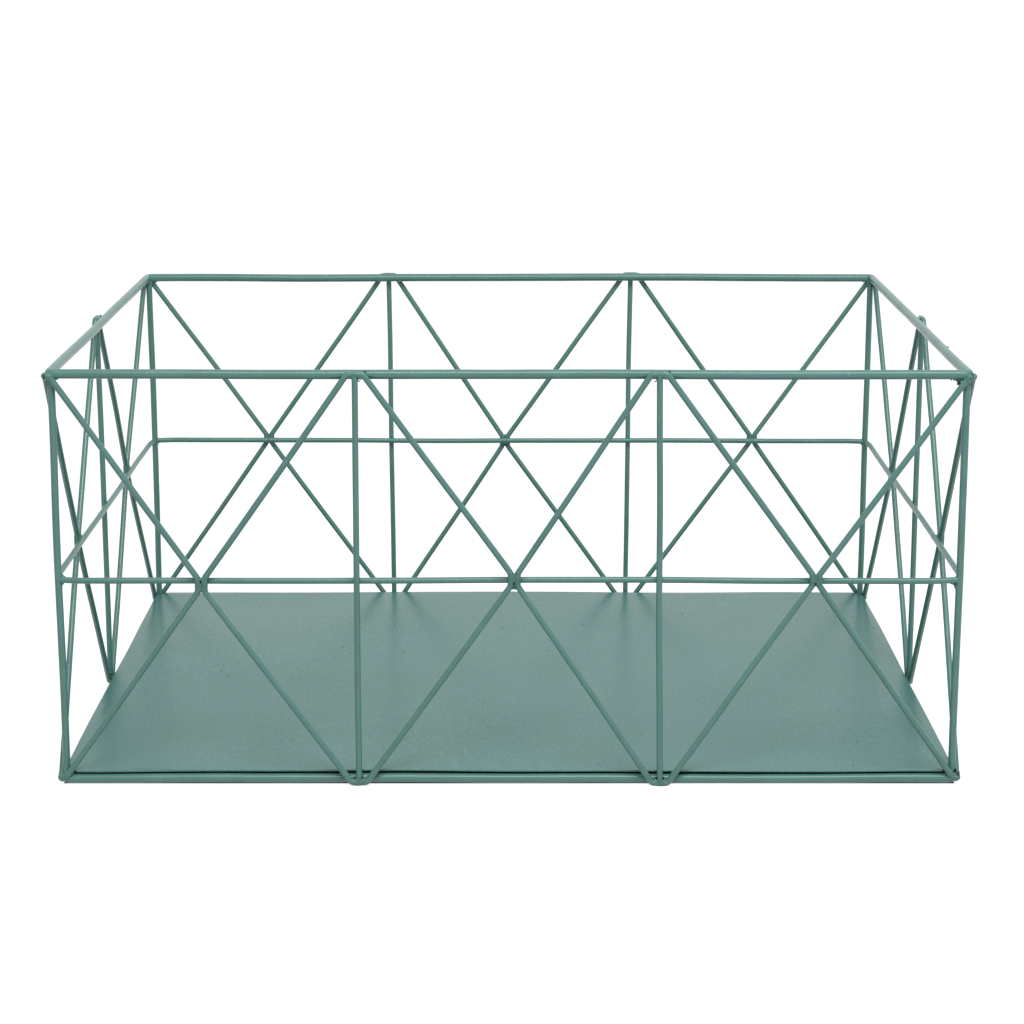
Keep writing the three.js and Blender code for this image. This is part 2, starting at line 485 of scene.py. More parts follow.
@dataclass(frozen=True)
class Paint:
    """A satin paint coat: two close tones, gloss, orange peel, and specks by their cells per metre."""

    name: str
    tone: int
    deep_tone: int
    cloud_scale: float
    clouding: float
    smoothest: float
    roughest: float
    peel_scale: float
    peel_height: float
    grain: float
    speck_scale: float
    speck_size: float
    pale_share: float
    pinhole_depth: float
    specular: float = 0.5
    # Near-black pinhole colour is painted shade in the pits; a dent comes only from pinhole_depth
    dark_speck: int = 0x16211F
    pale_speck: int = 0xB9CFC8
    # Gas holes take near-black, fully metallic colour: painted shade inside the pores, over a shallow dent
    holes: bool = False
    hole_tone: int = 0x0C1413

    def material(self, groups: PaintGroups) -> bpy.types.Material:
        """Builds the paint's material.

        Args:
            groups: the shared node groups.

        Returns:
            The material.
        """
        material = bpy.data.materials.new(self.name)
        material.use_nodes = True
        wiring = Wiring(material.node_tree)
        shader = material.node_tree.nodes["Principled BSDF"]
        place = wiring.put("ShaderNodeTexCoord").outputs["Object"]
        skin = wiring.put("ShaderNodeGroup", {
            "Place": place, "Tone": linear_colour(self.tone), "Deep Tone": linear_colour(self.deep_tone),
            "Cloud Scale": self.cloud_scale, "Clouding": self.clouding, "Peel Scale": self.peel_scale,
            "Grain": self.grain, "Smoothest": self.smoothest, "Roughest": self.roughest,
        }, node_tree=groups.skin)
        specks = wiring.put("ShaderNodeGroup", {
            "Place": place, "Scale": self.speck_scale, "Size": self.speck_size, "Pale Share": self.pale_share,
        }, node_tree=groups.specks)
        # Dark specks are painted pinhole shade; pale specks are grains in the paint
        dark_speck = linear_colour(self.dark_speck)
        dotted = wiring.blended(specks.outputs["Dark"], skin.outputs["Colour"], dark_speck)
        colour = wiring.blended(specks.outputs["Pale"], dotted, linear_colour(self.pale_speck))
        # Painted shade in gas holes: near-black colour and full metallic, so the pores show almost no light
        if self.holes:
            hole = wiring.put("ShaderNodeAttribute", attribute_name=HOLE_SHADE_ATTRIBUTE).outputs["Fac"]
            colour = wiring.blended(hole, colour, linear_colour(self.hole_tone))
            wiring.feed(shader.inputs["Metallic"], hole)
        wiring.feed(shader.inputs["Base Color"], colour)
        wiring.feed(shader.inputs["Roughness"], skin.outputs["Roughness"])
        wiring.feed(shader.inputs["Specular IOR Level"], self.specular)
        holes = wiring.maths("MULTIPLY", specks.outputs["Dark"], self.pinhole_depth)
        peel = wiring.maths("MULTIPLY", skin.outputs["Height"], self.peel_height)
        height = wiring.maths("SUBTRACT", peel, holes)
        bump = wiring.put("ShaderNodeBump", {"Strength": 1.0, "Distance": 1.0, "Height": height})
        wiring.feed(shader.inputs["Normal"], bump.outputs["Normal"])
        return material


WIRE_PAINT = Paint("sage_wire_paint", tone=0x5D8F87, deep_tone=0x55857D, cloud_scale=70.0, clouding=2.6,
                   smoothest=0.21, roughest=0.27, peel_scale=420.0, peel_height=0.003 * MM, grain=0.3,
                   speck_scale=160.0, speck_size=0.04, pale_share=0.45, pinhole_depth=0.05 * MM,
                   specular=0.46)
WELD_PAINT = Paint("sage_weld_paint", tone=0x5B8C84, deep_tone=0x47726B, cloud_scale=420.0, clouding=1.8,
                   smoothest=0.20, roughest=0.34, peel_scale=620.0, peel_height=0.03 * MM, grain=0.4,
                   speck_scale=620.0, speck_size=0.14, pale_share=0.05, pinhole_depth=0.12 * MM, specular=0.4,
                   holes=True)
SHEET_PAINT = Paint("sage_sheet_paint", tone=0x5D9590, deep_tone=0x487770, cloud_scale=16.0, clouding=0.4,
                    smoothest=0.28, roughest=0.30, peel_scale=900.0, peel_height=0.002 * MM, grain=1.8,
                    speck_scale=75.0, speck_size=0.02, pale_share=0.5, pinhole_depth=0.0, specular=0.43)
NIB_PAINT = Paint("sage_nib_paint", tone=0x41645E, deep_tone=0x2C4743, cloud_scale=400.0, clouding=2.6,
                  smoothest=0.30, roughest=0.45, peel_scale=900.0, peel_height=0.01 * MM, grain=0.5,
                  speck_scale=400.0, speck_size=0.05, pale_share=0.5, pinhole_depth=0.0)


@dataclass
class WirePath:
    """The centreline of one wire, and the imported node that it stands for."""

    node: str
    points: list[Vector]
    radius: float
    closed: bool = False

    def walk(self, spacing: float) -> list[Vector]:
        """Steps along the centreline.

        Args:
            spacing: the most that two points may be apart.

        Returns:
            The points of the centreline, none further apart than that.
        """
        ends = self.points[1:] + (self.points[:1] if self.closed else [])
        steps: list[Vector] = []
        for start, end in zip(self.points, ends):
            count = max(1, math.ceil((end - start).length / spacing))
            steps.extend(start.lerp(end, step / count) for step in range(count))
        if not self.closed:
            steps.append(self.points[-1])
        return steps


@dataclass(frozen=True)
class Bend:
    """One bend of a flat outline: an arc about a centre from one angle to another."""

    run: float
    rise: float
    radius: float
    start: float
    end: float

    def points(self) -> list[tuple[float, float]]:
        """Gives the arc's points.

        Returns:
            Run and rise of each point.
        """
        count = max(1, math.ceil(abs(self.end - self.start) / BEND_TURN))
        angles = [self.start + (self.end - self.start) * step / count for step in range(count + 1)]
        return [(self.run + self.radius * math.cos(a), self.rise + self.radius * math.sin(a)) for a in angles]


@dataclass(frozen=True)
class LoopSide:
    """A side of a loop: how far it reaches, its height, its straight run and the bends at its ends."""

    reach: float
    height: float
    straight: float
    bend: float


@dataclass(frozen=True)
class LoopEnd:
    """A level end of a loop: its height, and how far it is off the loop's middle."""

    height: float
    shift: float = 0.0


@dataclass(frozen=True)
class LoopShape:
    """A loop laid flat: level at top and bottom, and coming to a short upright run at either side."""

    before: LoopSide
    after: LoopSide
    low: LoopEnd
    high: LoopEnd
    level: float
    end_bend: float

    def lean(self, side: LoopSide, end: LoopEnd, sign: int) -> float:
        """Finds how far a long run leans.

        Args:
            side: the side that it runs to.
            end: the level end that it runs from.
            sign: 1 for the side ahead, -1 for the one behind.

        Returns:
            The angle from upright.
        """
        across = side.reach - side.bend - self.level / 2 - sign * end.shift
        down = abs(end.height - side.height) - self.end_bend - side.straight / 2
        return math.atan2(across, down) + math.asin((side.bend - self.end_bend) / math.hypot(across, down))

    def outline(self) -> list[tuple[float, float]]:
        """Lays the loop out.

        Returns:
            Run and rise of each point, counterclockwise.
        """
        before, after, low, high = self.before, self.after, self.low, self.high
        half = self.level / 2
        top = high.height - self.end_bend
        bottom = low.height + self.end_bend
        behind = before.bend - before.reach
        ahead = after.reach - after.bend
        high_before = BACK - self.lean(before, high, -1)
        low_before = BACK + self.lean(before, low, -1)
        low_after = AHEAD - self.lean(after, low, 1)
        high_after = AHEAD + self.lean(after, high, 1)
        bends = (
            Bend(high.shift + half, top, self.end_bend, high_after, AHEAD + UP),
            Bend(high.shift - half, top, self.end_bend, UP, high_before),
            Bend(behind, before.height + before.straight / 2, before.bend, high_before, BACK),
            Bend(behind, before.height - before.straight / 2, before.bend, BACK, low_before),
            Bend(low.shift - half, bottom, self.end_bend, low_before, DOWN),
            Bend(low.shift + half, bottom, self.end_bend, DOWN, low_after),
            Bend(ahead, after.height - after.straight / 2, after.bend, low_after, AHEAD),
            Bend(ahead, after.height + after.straight / 2, after.bend, AHEAD, high_after),
        )
        return [point for bend in bends for point in bend.points()]


@dataclass
class Hoops:
    """The top rim and the bottom hoop, each one thick wire bent round four tight corners."""

    nodes: tuple[str, ...] = ("top_rim", "bottom_hoop")
    inside_bend: float = 0.5 * MM

    def paths(self) -> list[WirePath]:
        """Traces both hoops, as centrelines."""
        return [self.path(node) for node in self.nodes]

    def path(self, node: str) -> WirePath:
        """Traces one hoop.

        Args:
            node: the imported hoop.

        Returns:
            Its centreline.
        """
        box = NodeBox.of(node)
        radius = box.size.z / 2
        bend = self.inside_bend + radius
        across = box.size.x / 2 - radius - bend
        along = box.size.y / 2 - radius - bend
        corners = ((across, along, 0.0), (-across, along, UP),
                   (-across, -along, BACK), (across, -along, DOWN))
        outline = [point for run, rise, start in corners
                   for point in Bend(run, rise, bend, start, start + UP).points()]
        centre = box.centre
        points = [Vector((centre.x + x, centre.y + y, centre.z)) for x, y in outline]
        return WirePath(node, points, radius, closed=True)


@dataclass
class Rods:
    """The straight wires: posts, rails and uprights, whose ends run into the welds.

    A rail's ends are drawn in to the posts by their welds, over a short run.
    """

    bite: float = 0.8 * MM
    draw: float = 1.2 * MM
    draw_run: float = 8.0 * MM
    posts: tuple[str, ...] = tuple(f"{corner.label}_post" for corner in Corner)

    def paths(self) -> list[WirePath]:
        """Traces every straight wire.

        Returns:
            Their centrelines.
        """
        rods = [self.path(node) for node in self.posts]
        for wall in Wall:
            rods.append(self.drawn_in(wall, self.path(f"{wall.label}_rail")))
            for number, shifts in enumerate(END_SHIFT[wall], start=1):
                upright = self.path(f"{wall.label}_upright_{number}")
                ends = [point + wall.ahead * shift for point, shift in zip(upright.points, shifts)]
                rods.append(WirePath(upright.node, ends, upright.radius))
        return rods

    def drawn_in(self, wall: Wall, rail: WirePath) -> WirePath:
        """Draws a rail's ends in to the posts.

        Args:
            wall: the wall that the rail is on.
            rail: the straight rail.

        Returns:
            The rail with its ends drawn in.
        """
        start, end = rail.points
        along = (end - start).normalized() * self.draw_run
        inward = -wall.out * self.draw
        return WirePath(rail.node, [start + inward, start + along, end - along, end + inward], rail.radius)

    def path(self, node: str) -> WirePath:
        """Traces one straight wire.

        Args:
            node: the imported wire.

        Returns:
            Its centreline, a bite longer at either end.
        """
        box = NodeBox.of(node)
        longest = max(range(3), key=lambda axis: box.size[axis])
        half = Vector((0, 0, 0))
        half[longest] = box.size[longest] / 2 + self.bite
        return WirePath(node, [box.centre - half, box.centre + half], min(box.size) / 2)


@dataclass
class Loops:
    """What all loops have in common: a level run at either end, and side bends that are never alike."""

    chance: random.Random
    level: float = 5.0 * MM
    end_inside: float = 0.5 * MM
    side_inside: Range = (1.4 * MM, 3.2 * MM)

    def side_bend(self, radius: float) -> float:
        """Draws a side bend's radius, along the middle of a wire of this radius."""
        return self.chance.uniform(*self.side_inside) + radius


@dataclass
class WallLoops(Loops):
    """The flat loops on the outside of the four walls, one about each upright."""

    chance: random.Random = field(default_factory=lambda: random.Random(23))
    names: dict[Wall, list[str]] = field(default_factory=lambda: {
        wall: [f"{wall.label}_loop_{number}" for number, _ in enumerate(shifts, start=1)]
        for wall, shifts in END_SHIFT.items()
    })

    def paths(self) -> list[WirePath]:
        """Traces every wall loop, as centrelines."""
        return [self.path(wall, node) for wall, nodes in self.names.items() for node in nodes]

    def path(self, wall: Wall, node: str) -> WirePath:
        """Traces one loop.

        Args:
            wall: the wall that it is on.
            node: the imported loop.

        Returns:
            Its centreline.
        """
        box = NodeBox.of(node)
        radius = min(box.size) / 2
        start, end = box.reach(wall.ahead)
        touch = (end - start) / 2 - radius
        place = self.names[wall].index(node)
        behind, ahead = CROSSINGS[wall][place:place + 2]
        low_shift, high_shift = END_SHIFT[wall][place]
        shape = LoopShape(
            LoopSide(touch - behind.along, box.centre.z + behind.rise, behind.touch, self.side_bend(radius)),
            LoopSide(touch + ahead.along, box.centre.z + ahead.rise, ahead.touch, self.side_bend(radius)),
            LoopEnd(box.low.z + radius, low_shift), LoopEnd(box.high.z - radius, high_shift),
            self.level, self.end_inside + radius)
        middle = Vector((box.centre.x, box.centre.y, 0))
        points = [middle + wall.ahead * run + Vector((0, 0, rise)) for run, rise in shape.outline()]
        return WirePath(node, points, radius, closed=True)


@dataclass
class CornerLoops(Loops):
    """The loops that are folded round the four vertical corners."""

    chance: random.Random = field(default_factory=lambda: random.Random(31))
    fold_inside: float = 1.75 * MM
    fold_pull: float = 2.0 * MM
    fold_step: float = 0.3 * MM
    draw_in: float = 1.5 * MM
    front_neighbour: str = "front_loop_1"
    side_neighbour: str = "right_loop_1"

    def paths(self) -> list[WirePath]:
        """Traces every corner loop, as centrelines."""
        return [self.path(corner) for corner in Corner]

    def path(self, corner: Corner) -> WirePath:
        """Traces one corner loop, folded.

        Args:
            corner: the corner that it is on.

        Returns:
            Its centreline.
        """
        node = f"{corner.label}_corner_loop"
        box = NodeBox.of(node)
        front = NodeBox.of(self.front_neighbour)
        radius = front.size.y / 2
        fold = self.fold_inside + radius
        half_fold = fold * math.pi / 4
        pivot_x = abs(NodeBox.of(self.side_neighbour).centre.x) - fold
        pivot_y = abs(front.centre.y) - fold
        reach_x = half_fold + pivot_x - min(abs(box.low.x), abs(box.high.x)) - radius
        reach_y = half_fold + pivot_y - min(abs(box.low.y), abs(box.high.y)) - radius
        before, after = (reach_x, reach_y) if corner.quarter_turns % 2 == 0 else (reach_y, reach_x)
        last = CROSSINGS[WALL_BEFORE[corner]][-1]
        first = CROSSINGS[WALL_AFTER[corner]][0]
        before -= last.along
        after += first.along
        middle = front.centre.z
        shape = LoopShape(LoopSide(before, middle + last.rise, last.touch, self.side_bend(radius)),
                          LoopSide(after, middle + first.rise, first.touch, self.side_bend(radius)),
                          LoopEnd(front.low.z + radius + self.draw_in),
                          LoopEnd(front.high.z - radius - self.draw_in),
                          self.level, self.end_inside + radius)
        pivot = Vector((corner.signs.x * pivot_x, corner.signs.y * pivot_y, 0))
        points = []
        for run, rise in self.fold_steps(shape.outline(), half_fold):
            on_fold = max(-half_fold, min(half_fold, run))
            facing = on_fold / fold - math.pi / 4 + corner.quarter_turns * UP
            out = Vector((math.cos(facing), math.sin(facing), 0))
            ahead = Vector((-out.y, out.x, 0))
            pull = self.fold_pull * (1 - abs(run) / (before if run < 0 else after))
            points.append(pivot + out * (fold - pull) + ahead * (run - on_fold) + Vector((0, 0, rise)))
        return WirePath(node, points, radius, closed=True)

    def fold_steps(self, outline: list[tuple[float, float]], half_fold: float) -> list[tuple[float, float]]:
        """Adds points where an outline crosses the fold, so that the wire follows it closely.

        Args:
            outline: run and rise of each point.
            half_fold: how far the fold reaches to either side of the middle.

        Returns:
            The outline with the added points.
        """
        steps: list[tuple[float, float]] = []
        for (run, rise), (next_run, next_rise) in zip(outline, outline[1:] + outline[:1]):
            steps.append((run, rise))
            if min(abs(run), abs(next_run)) > half_fold and run * next_run > 0:
                continue
            count = max(1, math.ceil(math.hypot(next_run - run, next_rise - rise) / self.fold_step))
            steps.extend((run + (next_run - run) * step / count, rise + (next_rise - rise) * step / count)
                         for step in range(1, count))
        return steps


class HandBend:
    """The slight unevenness of a hand-made frame: one smooth sway that moves all its pieces together."""

    SWAY = 0.9 * MM
    WAVES = 9.0
    DETAIL = 1.0
    SEED = 4.0

    def __init__(self) -> None:
        """Builds the node group."""
        wiring = Wiring.group(
            "hand_bend", "GeometryNodeTree",
            {"Geometry": ("NodeSocketGeometry", None), "Sway": ("NodeSocketFloat", self.SWAY),
             "Waves": ("NodeSocketFloat", self.WAVES), "Seed": ("NodeSocketFloat", self.SEED)},
            {"Geometry": "NodeSocketGeometry"})
        place = wiring.put("GeometryNodeInputPosition").outputs[0]
        sway = wiring.put("ShaderNodeTexNoise", {
            "Vector": place, "W": wiring.given("Seed"), "Scale": wiring.given("Waves"), "Detail": self.DETAIL,
        }, noise_dimensions="4D")
        centred = wiring.vectors("SUBTRACT", sway.outputs["Color"], (0.5, 0.5, 0.5))
        doubled = wiring.maths("MULTIPLY", wiring.given("Sway"), 2.0)
        offset = wiring.vectors("SCALE", centred, doubled)
        moved = wiring.put("GeometryNodeSetPosition", {
            "Geometry": wiring.given("Geometry"), "Offset": offset})
        wiring.give("Geometry", moved.outputs[0])
        self.tree = wiring.tree

    def apply(self, wiring: Wiring, geometry: bpy.types.NodeSocket) -> bpy.types.NodeSocket:
        """Places the group in another tree.

        Args:
            wiring: the other tree.
            geometry: what is moved.

        Returns:
            The moved geometry's socket.
        """
        node = wiring.put("GeometryNodeGroup", {"Geometry": geometry}, node_tree=self.tree)
        return node.outputs["Geometry"]


def solid_piece(name: str, start: bpy.types.Mesh, tree: bpy.types.NodeTree,
                values: dict[str, SocketValue]) -> bpy.types.Object:
    """Runs a mesh through a geometry node tree and keeps the result as a plain mesh.

    Args:
        name: the piece's name.
        start: the mesh that goes in.
        tree: the node tree.
        values: the tree's inputs by name.

    Returns:
        The finished object, with no modifier on it.
    """
    piece = bpy.data.objects.new(name, start)
    bpy.context.scene.collection.objects.link(piece)
    modifier = piece.modifiers.new("shape", "NODES")
    modifier.node_group = tree
    for item in tree.interface.items_tree:
        if item.item_type == "SOCKET" and item.in_out == "INPUT" and item.name in values:
            modifier[item.identifier] = values[item.name]
    graph = bpy.context.evaluated_depsgraph_get()
    shaped = bpy.data.meshes.new_from_object(piece.evaluated_get(graph), depsgraph=graph)
    piece.modifiers.clear()
    piece.data = shaped
    shaped.name = name
    bpy.data.meshes.remove(start)
    return piece


def place_piece(piece: bpy.types.Object, slot: Slot, *nodes: str) -> None:
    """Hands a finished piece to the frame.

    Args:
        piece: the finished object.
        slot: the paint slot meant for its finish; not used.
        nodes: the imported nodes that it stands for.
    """
    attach(piece, BODY)
    if nodes:
        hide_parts(*nodes)
    piece.data.calc_loop_triangles()
    count = len(piece.data.loop_triangles)
    log.info("%s: %d triangles, stands for %s", piece.name, count, ", ".join(nodes) or "no node")


class WireBender:
    """Sweeps round, painted wire along centrelines."""

    THIN_RADIUS = 1.25 * MM
    THICK_SIDES = 24
    THIN_SIDES = 16
    BENT_SPACING = 0.75 * MM
    STRAIGHT_SPACING = 1.6 * MM
    THICK_COAT = 0.05 * MM
    THIN_COAT = 0.10 * MM
    COAT_SPREAD = 0.04
    COAT_WAVES = 60.0
    SHARP_FROM = math.radians(60)

    def __init__(self, hand_bend: HandBend, material: bpy.types.Material) -> None:
        """Builds the sweep's node tree.

        Args:
            hand_bend: the sway that all pieces share.
            material: the wires' paint.
        """
        self.material = material
        wiring = Wiring.shaping("wire_along_path", {
            "Wire Radius": self.THIN_RADIUS, "Sides": self.THIN_SIDES, "Ring Spacing": self.BENT_SPACING,
            "Coat Spread": self.COAT_SPREAD, "Coat Waves": self.COAT_WAVES})
        curve = wiring.put("GeometryNodeMeshToCurve", {"Mesh": wiring.given("Geometry")}).outputs[0]
        even = wiring.put("GeometryNodeResampleCurve", {
            "Curve": curve, "Length": wiring.given("Ring Spacing")}, mode="LENGTH").outputs[0]
        swayed = hand_bend.apply(wiring, even)
        place = wiring.put("GeometryNodeInputPosition").outputs[0]
        coat = wiring.put("ShaderNodeTexNoise", {
            "Vector": place, "Scale": wiring.given("Coat Waves"), "Detail": 0.0})
        swell = wiring.about_middle(coat.outputs["Fac"], wiring.given("Coat Spread"))
        radius = wiring.maths("MULTIPLY", wiring.maths("ADD", swell, 1.0), wiring.given("Wire Radius"))
        self.tree = wiring.finish(wiring.tube(swayed, wiring.given("Sides"), radius))

    def make(self, path: WirePath) -> bpy.types.Object:
        """Makes one wire and hands it to the frame.

        Args:
            path: its centreline.

        Returns:
            The wire.
        """
        count = len(path.points)
        edges = [(index, index + 1) for index in range(count - 1)]
        if path.closed:
            edges.append((count - 1, 0))
        line = bpy.data.meshes.new(path.node)
        line.from_pydata(path.points, edges, [])
        thick = path.radius > HOOP_FROM
        piece = solid_piece(f"{path.node}_wire", line, self.tree, {
            "Wire Radius": path.radius + (self.THICK_COAT if thick else self.THIN_COAT),
            "Sides": self.THICK_SIDES if thick else self.THIN_SIDES,
            "Ring Spacing": self.BENT_SPACING if path.closed else self.STRAIGHT_SPACING,
            "Coat Spread": self.COAT_SPREAD,
            "Coat Waves": self.COAT_WAVES,
            "Material": self.material,
        })
        piece.data.set_sharp_from_angle(angle=self.SHARP_FROM)
        place_piece(piece, Slot.WIRE, path.node)
        return piece


@dataclass
class SheetFloor:
    """The sheet-metal floor: thin, softly uneven, its corners cut off to clear the posts."""

    hand_bend: HandBend
    material: bpy.types.Material
    node: str = "floor_panel"
    post: str = "back_right_post"
    post_clearance: float = 0.6 * MM
    columns: int = 96
    rows: int = 64
    tack_lift: float = 0.8 * MM
    ripple: float = 0.25 * MM
    ripple_waves: float = 12.0
    edge_round: float = 0.22 * MM
    edge_steps: int = 3
    edge_from: float = math.radians(50)
    sharp_from: float = math.radians(15)

    def make(self) -> bpy.types.Object:
        """Makes the sheet and hands it to the frame.

        Returns:
            The sheet.
        """
        box = NodeBox.of(self.node)
        blank = bpy.data.objects.new("sheet_blank", self.top_face(box))
        bpy.context.scene.collection.objects.link(blank)
        wall = blank.modifiers.new("thickness", "SOLIDIFY")
        wall.thickness = box.size.z
        wall.offset = -1.0
        edge = blank.modifiers.new("rounded_edge", "BEVEL")
        edge.width = self.edge_round
        edge.segments = self.edge_steps
        edge.limit_method = "ANGLE"
        edge.angle_limit = self.edge_from
        graph = bpy.context.evaluated_depsgraph_get()
        shaped = bpy.data.meshes.new_from_object(blank.evaluated_get(graph), depsgraph=graph)
        bpy.data.objects.remove(blank)
        piece = solid_piece("floor_sheet", shaped, self.settled_tree(), {"Material": self.material})
        piece.data.set_sharp_from_angle(angle=self.sharp_from)
        place_piece(piece, Slot.SHEET, self.node)
        return piece

    def settled_tree(self) -> bpy.types.NodeTree:
        """Builds the node tree that lets the sheet follow the sway of the hoop below it.

        Returns:
            The node tree.
        """
        wiring = Wiring.shaping("settled_sheet", {})
        return wiring.finish(self.hand_bend.apply(wiring, wiring.given("Geometry")))

    def top_face(self, box: NodeBox) -> bpy.types.Mesh:
        """Lays out the sheet's upper face as a grid that follows the cut corners.

        Args:
            box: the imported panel's box.

        Returns:
            The open upper face.
        """
        half_x = box.size.x / 2
        half_y = box.size.y / 2
        post = NodeBox.of(self.post)
        gap = math.sqrt(2) * (post.size.x / 2 + self.post_clearance)
        cut = half_x + half_y - post.centre.x - post.centre.y + gap
        lines = {round(half_y * (2 * row / self.rows - 1), 6) for row in range(self.rows + 1)}
        lines |= {round(sign * (half_y - cut), 6) for sign in (-1, 1)}
        points = []
        for y in sorted(lines):
            half_width = half_x - max(0.0, cut - (half_y - abs(y)))
            for column in range(self.columns + 1):
                x = half_width * (2 * column / self.columns - 1)
                lift = noise.noise(Vector((x, y, 0)) * self.ripple_waves)
                points.append((x, y, box.high.z + self.tack_lift + self.ripple * lift))
        width = self.columns + 1
        faces = [(row * width + column, row * width + column + 1,
                  (row + 1) * width + column + 1, (row + 1) * width + column)
                 for row in range(len(lines) - 1) for column in range(self.columns)]
        mesh = bpy.data.meshes.new("floor_sheet")
        mesh.from_pydata(points, [], faces)
        return mesh


@dataclass
class PaintNibs:
    """Grains of dust that were caught in the sheet's paint."""

    material: bpy.types.Material
    density: float = 1400.0
    smallest: float = 0.14 * MM
    largest: float = 0.42 * MM
    flatness: float = 0.7
    small_lean: float = 2.5
    segments: int = 8
    rings: int = 5
    upward: float = 0.8
    seed: int = 6

    def make(self, sheet: bpy.types.Object) -> bpy.types.Object:
        """Scatters the grains over the sheet and hands them to the frame.

        Args:
            sheet: the finished sheet.

        Returns:
            The grains, as one piece.
        """
        sizes = {"Density": self.density, "Smallest": self.smallest, "Largest": self.largest,
                 "Flatness": self.flatness, "Seed": self.seed}
        tree = self.scatter_tree(sizes)
        piece = solid_piece("sheet_paint_nibs", sheet.data.copy(), tree, {**sizes, "Material": self.material})
        place_piece(piece, Slot.SHEET)
        return piece

    def scatter_tree(self, sizes: dict[str, float | int]) -> bpy.types.NodeTree:
        """Builds the node tree that scatters small flattened grains over the upward faces of a mesh.

        Args:
            sizes: the tree's sizes by name.

        Returns:
            The node tree.
        """
        wiring = Wiring.shaping("scattered_nibs", sizes)
        normal = wiring.put("GeometryNodeInputNormal").outputs[0]
        upward = wiring.put("ShaderNodeSeparateXYZ", {0: normal}).outputs["Z"]
        facing_up = wiring.maths("GREATER_THAN", upward, self.upward)
        spots = wiring.put("GeometryNodeDistributePointsOnFaces", {
            "Mesh": wiring.given("Geometry"), "Selection": facing_up, "Density": wiring.given("Density"),
            "Seed": wiring.given("Seed")})
        grain = wiring.put("GeometryNodeMeshUVSphere", {
            "Segments": self.segments, "Rings": self.rings, "Radius": 1.0})
        draw = wiring.put("FunctionNodeRandomValue", {"Seed": wiring.given("Seed")}, data_type="FLOAT")
        lean_small = wiring.maths("POWER", draw.outputs[1], self.small_lean)
        size = wiring.ranged(lean_small, (0.0, 1.0), (wiring.given("Smallest"), wiring.given("Largest")))
        height = wiring.maths("MULTIPLY", size, wiring.given("Flatness"))
        scale = wiring.put("ShaderNodeCombineXYZ", {"X": size, "Y": size, "Z": height}).outputs[0]
        placed = wiring.put("GeometryNodeInstanceOnPoints", {
            "Points": spots.outputs["Points"], "Instance": grain.outputs[0], "Scale": scale})
        return wiring.finish(placed.outputs[0])


@dataclass
class WeldFill:
    """A short run of weld metal: its line, and its radius at each point of that."""

    line: list[Vector]
    radii: list[float]


@dataclass
class WeldSpot:
    """One weld: where it is, how far it covers the wires and how thickly, its metal and its gas holes."""

    centre: Vector
    reach: float
    swell: float
    fills: list[WeldFill]
    holes: list[Vector] = field(default_factory=list)


@dataclass
class WeldLines:
    """The lines that a group of welds is melted from: their points, the radius at each, and their edges."""

    points: list[Vector] = field(default_factory=list)
    radii: list[float] = field(default_factory=list)
    edges: list[tuple[int, int]] = field(default_factory=list)

    def add(self, fill: WeldFill) -> None:
        """Adds a run of weld metal.

        Args:
            fill: the run.
        """
        first = len(self.points)
        self.edges.extend((first + step, first + step + 1) for step in range(len(fill.line) - 1))
        self.points.extend(fill.line)
        self.radii.extend(fill.radii)


@dataclass(frozen=True)
class WeldSkin:
    """How a group of welds froze: its passes of melting, its lumps, and the size of its gas holes."""

    melt_passes: int
    lump_height: float
    hole_radius: float


SMOOTH_WELD = WeldSkin(melt_passes=4, lump_height=0.2 * MM, hole_radius=0.5 * MM)
LUMPY_WELD = WeldSkin(melt_passes=3, lump_height=0.3 * MM, hole_radius=0.5 * MM)
POROUS_WELD = WeldSkin(melt_passes=3, lump_height=0.5 * MM, hole_radius=0.65 * MM)


@dataclass(frozen=True)
class Bead:
    """A straight bead of weld metal: its radius, and its two ends along the wall, up and outwards."""

    radius: float
    start: Place
    end: Place


@dataclass(frozen=True)
class CornerLobe:
    """The lump at a hoop's corner: its radius and reach, and its drops' radius and reach."""

    radius: float
    reach: Range
    drop: float
    drop_reach: float


@dataclass(frozen=True)
class WeldFrame:
    """Directions at a weld, so that its metal is laid out along the wall, outwards and up."""

    centre: Vector
    ahead: Vector
    out: Vector

    def at(self, along: float, rise: float, outward: float = 0.0) -> Vector:
        """A place near the weld, in millimetres along the wall, up and outwards."""
        return self.centre + (self.ahead * along + self.out * outward + Vector((0, 0, rise))) * MM

    def bore(self, along: float, rise: float, depth: Range) -> list[Vector]:
        """Marks a gas hole that opens outwards, in millimetres.

        Args:
            along: its place along the wall.
            rise: its height.
            depth: how far out it starts and ends.

        Returns:
            Places along the hole.
        """
        least, most = depth
        count = round((most - least) / BORE_STEP)
        return [self.at(along, rise, least + BORE_STEP * step) for step in range(count + 1)]


